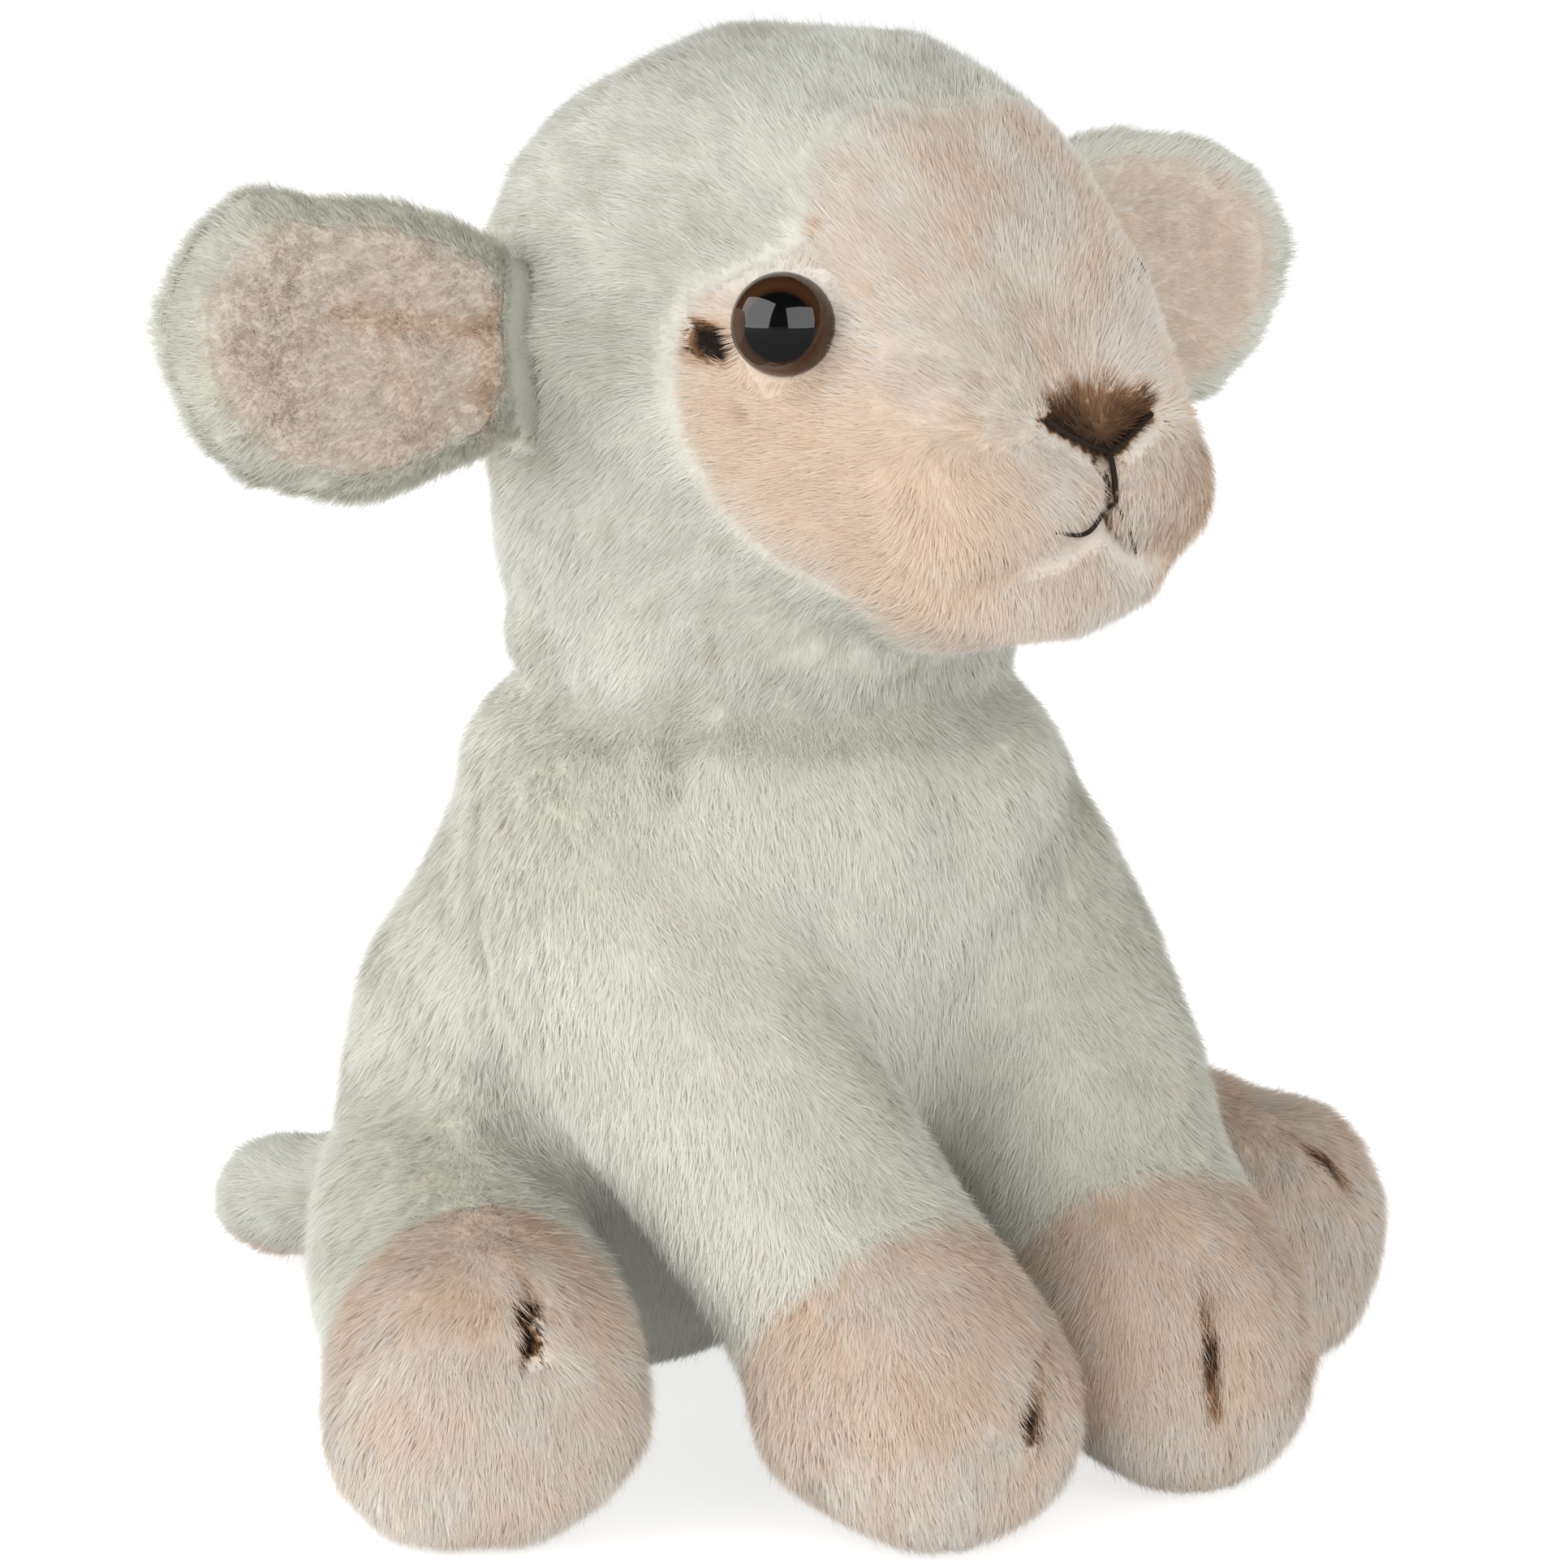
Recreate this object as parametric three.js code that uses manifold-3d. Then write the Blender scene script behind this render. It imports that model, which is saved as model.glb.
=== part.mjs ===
// A seated plush lamb: sewn covers over stuffing, moulded eyes, and soft limbs that flex at their seams.
// Millimetres, +Z up. The lamb faces -Y, and its own right side is -X.
// The origin is on the floor, below the middle of the toy.
// Every cover is a thin shell: its form, less the same form drawn in by the wall.
// Every limb ends in a round root that turns in a socket of what carries it. The rest of the limb is
// cut back from its carrier, as the two lie at rest and through the limb's travel.

import * as THREE from 'three';
import { mergeVertices } from 'three/addons/utils/BufferGeometryUtils.js';
import Module from 'manifold-3d';

const wasm = await Module();
wasm.setup();

// Sizes shared by the whole toy
const wall = 2.4;              // plush cloth with its pressed pile
const seamGap = 0.3;           // between pieces that are sewn to each other
const turnGap = 0.4;           // between a root and its socket
const sweepGap = 0.6;          // between a moving limb and what it swings past
const floorSink = 0.5;         // how much of each resting form the floor takes off
const coarseSlack = 2.0;       // how far a coarse ring's flats lie inside a fine one's
const pointGrid = 0.01;        // points closer than this become one

// Body
const bodyHalfWidth = 53;
const bodyHalfDepth = 45;
const seatY = 27;              // the seat lies behind the widest ring, under the rump
const seatRadius = 17;
const bodyRumpY = 3;           // the widest ring's centre
const bodyLean = 22;           // how far the neck stands in front of the widest ring
const bodyWidestZ = 36;
const chestZ = 82;
const neckZ = 106;
const neckRadius = 33.5;
const neckRingThickness = 1.8;
const neckSides = 24;
const pelletBagTopZ = 22;

// Head
const headHalfWidth = 41;
const headHalfHeight = 44;
const headCentreZ = 168.5;
const headBackY = 22;
const hoodRimZ = 116;          // the hood's lower edge, round the neck
const hoodRimHalfWidth = 36.5;
const jowlZ = 143;             // where the hood is widest below the crown
const muzzleTipY = -95;
const muzzleHalfWidth = 26;
const muzzleZ = 149;
const facePanelY = -49;        // where the pink face meets the cream hood, at the brow
const eyeDiameter = 15;
const eyeDomeHeight = 5.5;
const eyeSink = 2.2;           // how deep the dome's flat back sits in the cover
const eyeAim = new THREE.Vector3(0, -30.5, 172.8);
const eyeTurn = 47;            // degrees that each eye looks outwards
const eyeShankRadius = 2.2;
const eyeShankLength = 13;
const washerRadius = 7;
const washerThickness = 1.4;

// Ears
const earLength = 75;
const earHalfHeight = 24;
const earHalfThickness = 5.5;
const earRootRadius = 4.2;
const earRootHalfLength = 10;
const earRootPlace = new THREE.Vector3(36.5, -6, 165);
const earForward = 10;         // degrees that each ear leans forwards
const earRise = 5;             // degrees that each ear rises
const earLiningShare = 0.8;    // the lining's outline as a share of the ear's
const earLiningThickness = 2.6;

// Legs
const frontLegRadius = 22;
const frontFootRadius = 24;
const frontFootPlace = new THREE.Vector3(24, -86, 25);
const frontFeetShift = -5;     // both front feet stand a little to the lamb's right
const shoulderPlace = new THREE.Vector3(34, -26, 82);
const shoulderRadius = 14;
const hindLegRadius = 24;
const hindFootRadius = 23.5;
const hindFootPlace = new THREE.Vector3(76, -48, 23);
const hipPlace = new THREE.Vector3(43, 8, 32);
const hipRadius = 16;

// Tail
const tailLength = 70;
const tailAside = 5;          // how far the tip lies to the lamb's right of the root
const tailHalfWidth = 13;
const tailHalfThickness = 11;
const tailRootPlace = new THREE.Vector3(-1, 47, 32);
const tailRootRadius = 9;

// How far each part swings, in degrees
const nodDown = 8;
const nodUp = 14;
const headTurn = 22;
const earSwing = 22;
const frontLegBack = 8;
const frontLegForward = 16;
const hindLegDown = 5;
const hindLegUp = 14;
const tailSwing = 22;

// Finishes
const cream = { color: 0xe9e8da, roughness: 0.95, metalness: 0 };
const pink = { color: 0xefd9c6, roughness: 0.95, metalness: 0 };
const fibre = { color: 0xf4f4f0, roughness: 1.0, metalness: 0 };
const pellets = { color: 0xd8d8d2, roughness: 0.6, metalness: 0 };
const eyeBrown = { color: 0x3a2415, roughness: 0.1, metalness: 0 };
const washerWhite = { color: 0xe8e8e6, roughness: 0.5, metalness: 0 };

const xAxis = new THREE.Vector3(1, 0, 0);
const yAxis = new THREE.Vector3(0, 1, 0);
const zAxis = new THREE.Vector3(0, 0, 1);
const lamb = new THREE.Group();

function at(x, y, z) {
  return new THREE.Vector3(x, y, z);
}

// A point of the lamb's left side, or its mirror on the right side
function onSide(side, x, y, z) {
  return at(side * x, y, z);
}

function between(start, end, share) {
  return at(0, 0, 0).lerpVectors(start, end, share);
}

// A closed geometry as a solid that can be joined and cut
function toSolid(geometry) {
  const bare = geometry.clone();
  bare.deleteAttribute('normal');
  bare.deleteAttribute('uv');
  const merged = mergeVertices(bare, 1e-4);
  return new wasm.Manifold(new wasm.Mesh({
    numProp: 3,
    vertProperties: new Float32Array(merged.attributes.position.array),
    triVerts: new Uint32Array(merged.index.array),
  }));
}

function toPointGrid(value) {
  return Math.round(value / pointGrid) * pointGrid;
}

// A solid as a geometry. Its points lie on a fine grid, so that no two of them nearly touch, and the
// triangles that have no width left are dropped.
function toGeometry(solid) {
  const mesh = solid.getMesh();
  const points = Float32Array.from(mesh.vertProperties, toPointGrid);
  const geometry = new THREE.BufferGeometry();
  geometry.setAttribute('position', new THREE.BufferAttribute(points, 3));
  geometry.setIndex(new THREE.BufferAttribute(new Uint32Array(mesh.triVerts), 1));
  const merged = mergeVertices(geometry, pointGrid / 4);
  const corners = merged.index.array;
  const kept = [];
  for (let corner = 0; corner < corners.length; corner += 3) {
    const [a, b, c] = corners.slice(corner, corner + 3);
    if (a !== b && b !== c && c !== a) {
      kept.push(a, b, c);
    }
  }
  merged.setIndex(kept);
  merged.computeVertexNormals();
  return merged;
}

function addPiece(name, solid, finish) {
  const mesh = new THREE.Mesh(toGeometry(solid), new THREE.MeshStandardMaterial(finish));
  mesh.name = name;
  lamb.add(mesh);
}

// Closes rings of points with a tip at each end
function closedRings(positions, sides, first, last) {
  const ringCount = positions.length / (3 * sides);
  const firstIndex = ringCount * sides;
  const lastIndex = firstIndex + 1;
  const triangles = [];
  for (let side = 0; side < sides; side += 1) {
    const next = (side + 1) % sides;
    const end = (ringCount - 1) * sides;
    triangles.push(firstIndex, next, side, lastIndex, end + side, end + next);
    for (let ring = 0; ring < ringCount - 1; ring += 1) {
      const low = ring * sides;
      const high = low + sides;
      triangles.push(low + side, low + next, high + next, low + side, high + next, high + side);
    }
  }
  const geometry = new THREE.BufferGeometry();
  const points = [...positions, first.x, first.y, first.z, last.x, last.y, last.z];
  geometry.setAttribute('position', new THREE.Float32BufferAttribute(points, 3));
  geometry.setIndex(triangles);
  return geometry;
}

// A soft closed form: rings carried along a smooth line through the given points. Each point is
// [centre, half width, half depth]. The first and last are the tips. The squares of the sizes run
// smoothly to nothing there, so that the tips are round, and the rings crowd towards them. A form
// that is drawn in leaves out the rings that its tips would pass. Rings lie square to the line, or
// level.
function softForm({ points, up, sides, rings, squareness = 2, level = false }, grow = 0) {
  const line = new THREE.CatmullRomCurve3(points.map((point) => point[0]));
  const sizePoints = points.map((point) => at(point[1] ** 2, point[2] ** 2, 0));
  const sizes = new THREE.CatmullRomCurve3(sizePoints, false, 'catmullrom', 0.5);
  const direction = (share) => (level ? zAxis : line.getTangent(share));
  const bend = (value) => Math.sign(value) * Math.abs(value) ** (2 / squareness);
  const start = line.getPoint(0);
  const end = line.getPoint(1);
  const positions = [];
  for (let ring = 1; ring < rings; ring += 1) {
    const share = (1 - Math.cos((Math.PI * ring) / rings)) / 2;
    const centre = line.getPoint(share);
    const along = direction(share);
    const across = at(0, 0, 0).crossVectors(up, along).normalize();
    const over = at(0, 0, 0).crossVectors(along, across).normalize();
    const square = sizes.getPoint(share);
    const halfWidth = Math.sqrt(Math.max(square.x, 1)) + grow;
    const halfDepth = Math.sqrt(Math.max(square.y, 1)) + grow;
    const nearTip = Math.min(centre.distanceTo(start), centre.distanceTo(end));
    if (grow < 0 && (nearTip < -1.8 * grow || Math.min(halfWidth, halfDepth) < 1)) {
      continue;
    }
    for (let side = 0; side < sides; side += 1) {
      const angle = (2 * Math.PI * side) / sides;
      const point = centre.clone();
      point.addScaledVector(across, halfWidth * bend(Math.cos(angle)));
      point.addScaledVector(over, halfDepth * bend(Math.sin(angle)));
      positions.push(point.x, point.y, point.z);
    }
  }
  const first = start.addScaledVector(direction(0), -grow);
  const last = end.addScaledVector(direction(1), grow);
  return closedRings(positions, sides, first, last);
}

// The same form with fewer rings, for the hollow of a cover and what fills it
function coarser(shape) {
  return { ...shape, sides: Math.round(0.7 * shape.sides), rings: Math.round(0.7 * shape.rings) };
}

function ball(centre, radius, sides = 14) {
  const geometry = new THREE.SphereGeometry(radius, sides, Math.round(sides / 2));
  return toSolid(geometry.rotateX(Math.PI / 2).translate(centre.x, centre.y, centre.z));
}

// The radius at which a faceted ball's flats, and not its corners, reach a given radius
function flatsReach(radius, sides) {
  return radius / Math.cos(Math.PI / sides) ** 2;
}

// Room for a ball of the given radius to turn in
function socket(centre, radius, sides = 14) {
  return ball(centre, flatsReach(radius + turnGap, sides), sides);
}

// A round bar from one height to another along a direction that starts at a point
function bar(start, direction, low, high, radius, sides = 16) {
  const geometry = new THREE.CylinderGeometry(radius, radius, high - low, sides);
  geometry.translate(0, (high + low) / 2, 0);
  geometry.applyQuaternion(new THREE.Quaternion().setFromUnitVectors(yAxis, direction));
  return toSolid(geometry.translate(start.x, start.y, start.z));
}

// A block on the side of a plane that its normal points to, larger than any piece
function halfSpace(point, normal) {
  const reach = 4 * (headCentreZ + headHalfHeight);
  const geometry = new THREE.BoxGeometry(reach, reach, reach);
  geometry.translate(0, 0, reach / 2);
  geometry.applyQuaternion(new THREE.Quaternion().setFromUnitVectors(zAxis, normal));
  return toSolid(geometry.translate(point.x, point.y, point.z));
}

const aboveFloor = halfSpace(at(0, 0, 0), zAxis);

// A copy of a solid, turned about a point
function turned(solid, pivot, turn) {
  const mesh = solid.getMesh();
  const geometry = new THREE.BufferGeometry();
  geometry.setAttribute('position', new THREE.BufferAttribute(new Float32Array(mesh.vertProperties), 3));
  geometry.translate(-pivot.x, -pivot.y, -pivot.z);
  geometry.applyQuaternion(turn);
  geometry.translate(pivot.x, pivot.y, pivot.z);
  return new wasm.Manifold(new wasm.Mesh({
    numProp: 3,
    vertProperties: geometry.attributes.position.array,
    triVerts: new Uint32Array(mesh.triVerts),
  }));
}

// Quaternions for the angles of a swing, in degrees
function swingTurns(axis, ...angles) {
  return angles.map((angle) => {
    const turn = THREE.MathUtils.degToRad(angle);
    return new THREE.Quaternion().setFromAxisAngle(axis, turn);
  });
}

// Cuts a moving form back from its carrier, as the carrier is seen from it at each of its turns
function clearedOf(form, carrier, pivot, turns) {
  let result = form;
  for (const turn of turns) {
    result = result.subtract(turned(carrier, pivot, turn.clone().invert()));
  }
  return result;
}

// The height at which a form's lowest point lies just under the floor
function restingHeight(pointsAtHeight, guess) {
  let height = guess;
  for (let pass = 0; pass < 6; pass += 1) {
    const geometry = softForm(pointsAtHeight(height));
    geometry.computeBoundingBox();
    height -= geometry.boundingBox.min.z + floorSink;
  }
  return height;
}

// Body: a pear that leans forwards, with a round neck on top
const neckPivot = at(0, bodyRumpY - bodyLean, neckZ);

function bodyShape(baseZ) {
  const rump = bodyRumpY;
  return {
    points: [
      [at(0, seatY, baseZ), 0, 0],
      [at(0, seatY - 1, baseZ + 1.3), seatRadius, seatRadius],
      [at(0, between(at(0, seatY, 0), at(0, rump, 0), 0.4).y, baseZ + 0.4 * bodyWidestZ),
        0.83 * bodyHalfWidth, 0.7 * bodyHalfDepth],
      [at(0, rump, bodyWidestZ), bodyHalfWidth, bodyHalfDepth],
      [at(0, rump - 0.28 * bodyLean, (bodyWidestZ + chestZ) / 2), 0.99 * bodyHalfWidth, 1.12 * bodyHalfDepth],
      [at(0, rump - 0.7 * bodyLean, chestZ), 0.94 * bodyHalfWidth, 1.07 * bodyHalfDepth],
      [at(0, rump - bodyLean, neckZ), 1.33 * neckRadius, 1.3 * neckRadius],
      [at(0, rump - bodyLean, neckZ + 0.78 * neckRadius), 0, 0],
    ],
    up: at(0, -1, 0),
    sides: 20,
    rings: 12,
    squareness: 2.1,
    level: true,
  };
}

function pearForm(grow) {
  return toSolid(softForm(bodyShape(-floorSink), grow));
}

function bodyForm(grow) {
  return pearForm(grow).add(ball(neckPivot, neckRadius + grow, neckSides));
}

// The body's form for hollows: at least as large as the fine one, by a further gap
function coarseBodyForm(grow) {
  const pear = toSolid(softForm(coarser(bodyShape(-floorSink)), grow));
  return pear.add(ball(neckPivot, neckRadius + grow, 14));
}

// Head: a tall crown that slopes down to a blunt muzzle
const muzzleTip = at(0, muzzleTipY, muzzleZ);

function headShape() {
  const depth = headBackY - muzzleTipY;
  const fall = headCentreZ - muzzleZ;
  const place = (share, drop) => at(0, headBackY - share * depth, headCentreZ - drop * fall);
  return {
    points: [
      [place(0, 0), 0, 0],
      [place(0.07, 0), 0.74 * headHalfWidth, 0.76 * headHalfHeight],
      [place(0.2, 0), 0.96 * headHalfWidth, 0.97 * headHalfHeight],
      [place(0.37, 0), headHalfWidth, headHalfHeight],
      [place(0.53, 0.14), 0.96 * headHalfWidth, 0.98 * headHalfHeight],
      [place(0.69, 0.54), 0.85 * headHalfWidth, 0.83 * headHalfHeight],
      [place(0.83, 0.93), 1.14 * muzzleHalfWidth, 0.65 * headHalfHeight],
      [place(0.94, 1.03), 0.95 * muzzleHalfWidth, 0.43 * headHalfHeight],
      [muzzleTip, 0, 0],
    ],
    up: zAxis,
    sides: 20,
    rings: 13,
    squareness: 2.3,
  };
}

const headTurns = [new THREE.Quaternion()];
for (const nod of swingTurns(xAxis, -nodUp, nodDown)) {
  for (const turn of swingTurns(zAxis, -headTurn, headTurn)) {
    headTurns.push(nod.clone().multiply(turn));
  }
}
const neckRingInner = flatsReach(neckRadius + turnGap, neckSides);
const neckRingOuter = neckRingInner + neckRingThickness;

// The hood's lower part: an upright barrel over the neck
function jowlShape() {
  const y = bodyRumpY - bodyLean;
  return {
    points: [
      [at(0, y, hoodRimZ - 3), 0, 0],
      [at(0, y, hoodRimZ), hoodRimHalfWidth, hoodRimHalfWidth],
      [at(0, y, (hoodRimZ + jowlZ) / 2), 0.96 * headHalfWidth, 0.94 * headHalfWidth],
      [at(0, y, jowlZ), 0.98 * headHalfWidth, 0.95 * headHalfWidth],
      [at(0, y, headCentreZ), 0.9 * headHalfWidth, 0.86 * headHalfWidth],
      [at(0, y, headCentreZ + 0.4 * headHalfHeight), 0, 0],
    ],
    up: at(0, -1, 0),
    sides: 20,
    rings: 9,
    level: true,
  };
}

function crownForm(grow, form = (shape) => shape) {
  const crown = toSolid(softForm(form(headShape()), grow));
  return crown.add(toSolid(softForm(form(jowlShape()), grow)));
}

function headForm() {
  const cleared = clearedOf(crownForm(0), pearForm(sweepGap), neckPivot, headTurns);
  return cleared.subtract(socket(neckPivot, neckRingOuter, neckSides));
}

// The head's hollow, drawn in further by a gap for what fills it
function headHollow(gap) {
  const form = crownForm(-wall - gap, coarser);
  const lowest = halfSpace(at(0, 0, neckZ + 0.62 * neckRadius + gap), zAxis);
  return form.intersect(lowest).subtract(socket(neckPivot, neckRingOuter + gap, neckSides));
}

// Ears: leaves that hang from an upright root at the side of the head
function earRoot(side, grow) {
  const place = onSide(side, earRootPlace.x, earRootPlace.y, earRootPlace.z);
  const sides = 10;
  const radius = grow > 0 ? flatsReach(earRootRadius + grow, sides) : earRootRadius;
  const capsule = new THREE.CapsuleGeometry(radius, 2 * earRootHalfLength, 3, sides);
  return toSolid(capsule.rotateX(Math.PI / 2).translate(place.x, place.y, place.z));
}

// A leaf in the ear's own plane: its outline is a share of the ear's, and it may lie in front
function earLeaf(side, outline, halfThickness, inFront, grow = 0) {
  const root = onSide(side, earRootPlace.x, earRootPlace.y, earRootPlace.z);
  const lean = THREE.MathUtils.degToRad(earForward);
  const rise = THREE.MathUtils.degToRad(earRise);
  const reach = at(side * Math.cos(lean) * Math.cos(rise), -Math.sin(lean) * Math.cos(rise), Math.sin(rise));
  const front = at(-side * Math.sin(lean), -Math.cos(lean), 0);
  const middle = 0.56 * earLength;
  const place = (share) => {
    const along = middle + outline * (share * earLength - middle);
    return root.clone().addScaledVector(reach, along).addScaledVector(front, inFront);
  };
  const shape = {
    points: [
      [place(-0.04), 0, 0],
      [place(0.1), 0.85 * halfThickness, outline * 0.72 * earHalfHeight],
      [place(0.35), halfThickness, outline * 0.86 * earHalfHeight],
      [place(0.62), halfThickness, outline * earHalfHeight],
      [place(0.85), 0.9 * halfThickness, outline * 0.78 * earHalfHeight],
      [place(1), 0, 0],
    ],
    up: zAxis,
    sides: 12,
    rings: 8,
  };
  return toSolid(softForm(shape, grow));
}

// Cuts an ear's piece back from the head over the ear's swing
function clearedOfHead(side, piece) {
  const turns = swingTurns(zAxis, -earSwing, 0, earSwing);
  const place = onSide(side, earRootPlace.x, earRootPlace.y, earRootPlace.z);
  return clearedOf(piece, toSolid(softForm(headShape(), sweepGap)), place, turns);
}

function earForm(side) {
  return clearedOfHead(side, earLeaf(side, 1, earHalfThickness, 0)).add(earRoot(side, 0));
}

// Limbs: a soft form joined to a ball at its pivot, and cleared of the body over its swing
function limbForm({ shape, pivot, radius, turns }) {
  const cleared = clearedOf(toSolid(softForm(shape)), bodyForm(sweepGap), pivot, turns);
  return cleared.add(ball(pivot, radius)).intersect(aboveFloor);
}

// A limb's hollow starts past its root, and is drawn in further by a gap for what fills it
function limbHollow({ shape, pivot, radius, turns, reach }, gap) {
  const form = toSolid(softForm(coarser(shape), -wall - gap));
  const carrier = coarseBodyForm(sweepGap + wall + coarseSlack + gap);
  const start = pivot.clone().addScaledVector(reach, radius + gap);
  return clearedOf(form, carrier, pivot, turns)
    .intersect(halfSpace(start, reach))
    .intersect(halfSpace(at(0, 0, wall + gap), zAxis));
}

function frontLegShape(side) {
  const shoulder = onSide(side, shoulderPlace.x, shoulderPlace.y, shoulderPlace.z);
  const foot = (z) => at(side * frontFootPlace.x + frontFeetShift, frontFootPlace.y, z);
  const shapeAt = (z) => {
    const knee = between(shoulder, foot(z), 0.45);
    const ankle = between(shoulder, foot(z), 0.75);
    return {
      points: [
        [shoulder.clone().add(onSide(side, -5, 17, 24)), 0, 0],
        [shoulder.clone().add(onSide(side, 1, 3, 5)), frontLegRadius, 1.04 * frontLegRadius],
        [knee, frontLegRadius, 1.02 * frontLegRadius],
        [ankle, 0.92 * frontLegRadius, 0.92 * frontLegRadius],
        [foot(z), frontFootRadius, frontFootRadius],
        [foot(z - 6).add(at(0, -0.66 * frontFootRadius, 0)), 0.82 * frontFootRadius, 0.72 * frontFootRadius],
        [foot(z - 8).add(at(0, -0.98 * frontFootRadius, 0)), 0, 0],
      ],
      up: zAxis,
      sides: 14,
      rings: 10,
    };
  };
  return shapeAt(restingHeight(shapeAt, frontFootPlace.z));
}

function hindLegShape(side) {
  const hip = onSide(side, hipPlace.x, hipPlace.y, hipPlace.z);
  const foot = (z) => onSide(side, hindFootPlace.x, hindFootPlace.y, z);
  const shapeAt = (z) => {
    const along = foot(z).sub(hip).setZ(0).normalize();
    const ankle = between(hip, foot(z), 0.62);
    return {
      points: [
        [hip.clone().addScaledVector(along, -0.62 * hindLegRadius), 0, 0],
        [hip.clone().addScaledVector(along, -0.1 * hindLegRadius), 0.8 * hindLegRadius, hindLegRadius],
        [between(hip, foot(z), 0.28), 0.96 * hindLegRadius, 1.1 * hindLegRadius],
        [ankle, 0.92 * hindLegRadius, 0.94 * hindLegRadius],
        [foot(z), hindFootRadius, hindFootRadius],
        [foot(z).addScaledVector(along, 0.5 * hindFootRadius), 0.85 * hindFootRadius, 0.85 * hindFootRadius],
        [foot(z).addScaledVector(along, 0.8 * hindFootRadius), 0, 0],
      ],
      up: zAxis,
      sides: 14,
      rings: 10,
    };
  };
  return shapeAt(restingHeight(shapeAt, hindFootPlace.z));
}

function tailShape() {
  const root = tailRootPlace;
  const shapeAt = (z) => {
    const along = (share, rise) => at(root.x - share * tailAside, root.y + share * tailLength, z + rise);
    return {
      points: [
        [root.clone().add(at(0, -8, 2)), 0, 0],
        [root.clone().add(at(0, 0.06 * tailLength, 2)), 0.85 * tailHalfWidth, tailHalfThickness],
        [along(0.45, 9), tailHalfWidth, tailHalfThickness],
        [along(0.8, 1), 0.9 * tailHalfWidth, 0.9 * tailHalfThickness],
        [along(1, -1), 0, 0],
      ],
      up: zAxis,
      sides: 14,
      rings: 9,
    };
  };
  return shapeAt(restingHeight(shapeAt, tailHalfThickness));
}

// The pieces of one leg: a cream sleeve, a pink foot and its sole, over one piece of stuffing
function addLeg(name, limb, hem, sole) {
  const shell = limbForm(limb).subtract(limbHollow(limb, 0));
  const behind = (plane) => halfSpace(
    plane.point.clone().addScaledVector(plane.normal, -seamGap), plane.normal.clone().negate());
  const foot = shell.intersect(halfSpace(hem.point, hem.normal));
  addPiece(`${name}_sleeve`, shell.intersect(behind(hem)), cream);
  addPiece(`${name}_foot`, foot.intersect(behind(sole)), pink);
  addPiece(`${name}_sole`, foot.intersect(halfSpace(sole.point, sole.normal)), pink);
  addPiece(`${name}_stuffing`, limbHollow(limb, seamGap), fibre);
}

const limbSockets = [];

for (const [sideName, side] of [['right', -1], ['left', 1]]) {
  const frontShape = frontLegShape(side);
  const frontFoot = frontShape.points[4][0];
  const down = frontFoot.clone().sub(frontShape.points[2][0]).normalize();
  const frontLeg = {
    shape: frontShape,
    pivot: onSide(side, shoulderPlace.x, shoulderPlace.y, shoulderPlace.z),
    radius: shoulderRadius,
    turns: swingTurns(xAxis, -frontLegForward, 0, frontLegBack),
    reach: down,
  };
  addLeg(
    `front_${sideName}`, frontLeg,
    { point: frontFoot.clone().addScaledVector(down, -0.66 * frontFootRadius), normal: down },
    { point: frontFoot.clone().add(at(0, 0, -0.5 * frontFootRadius)), normal: at(0, -0.35, -1).normalize() },
  );

  const hindShape = hindLegShape(side);
  const hindFoot = hindShape.points[4][0];
  const hip = onSide(side, hipPlace.x, hipPlace.y, hipPlace.z);
  const along = hindFoot.clone().sub(hip).setZ(0).normalize();
  const hindLeg = {
    shape: hindShape,
    pivot: hip,
    radius: hipRadius,
    turns: swingTurns(xAxis, -hindLegUp, 0, hindLegDown),
    reach: along,
  };
  addLeg(
    `hind_${sideName}`, hindLeg,
    { point: hindFoot.clone().addScaledVector(along, -0.55 * hindFootRadius), normal: along },
    { point: hindFoot.clone().addScaledVector(along, 0.55 * hindFootRadius).add(at(0, 0, 5)),
      normal: along.clone().multiplyScalar(0.45).add(at(0, 0, -1)).normalize() },
  );
  limbSockets.push(frontLeg, hindLeg);
}

// Tail: a cream top and a pink underside, sewn at their edges round a slip of stuffing
const tail = {
  shape: tailShape(),
  pivot: tailRootPlace,
  radius: tailRootRadius,
  turns: swingTurns(zAxis, -tailSwing, 0, tailSwing),
  reach: yAxis,
};
limbSockets.push(tail);
const tailShell = limbForm(tail).subtract(limbHollow(tail, 0));
const tailSeamPoint = tail.shape.points[3][0].clone().add(at(0, 0, -0.45 * tailHalfThickness));
const tailSeamNormal = at(0, 0.12, 1).normalize();
addPiece('tail_top', tailShell.intersect(halfSpace(tailSeamPoint, tailSeamNormal)), cream);
const underTail = halfSpace(
  tailSeamPoint.clone().addScaledVector(tailSeamNormal, -seamGap), tailSeamNormal.clone().negate());
addPiece('tail_underside', tailShell.intersect(underTail), pink);
addPiece('tail_stuffing', limbHollow(tail, seamGap), fibre);

// Body pieces, with a socket for each limb's root
function withSockets(solid) {
  return limbSockets.reduce((rest, limb) => rest.subtract(socket(limb.pivot, limb.radius)), solid);
}

function bodyHollow(gap) {
  return coarseBodyForm(-wall - gap).intersect(halfSpace(at(0, 0, wall + gap), zAxis));
}

addPiece('body_cover', withSockets(bodyForm(0).intersect(aboveFloor).subtract(bodyHollow(0))), cream);
const bodyFill = withSockets(bodyHollow(seamGap));
addPiece('body_stuffing', bodyFill.intersect(halfSpace(at(0, 0, pelletBagTopZ), zAxis)), fibre);
const belowPelletTop = halfSpace(at(0, 0, pelletBagTopZ - seamGap), at(0, 0, -1));
addPiece('pellet_bag', bodyFill.intersect(belowPelletTop), pellets);

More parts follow.
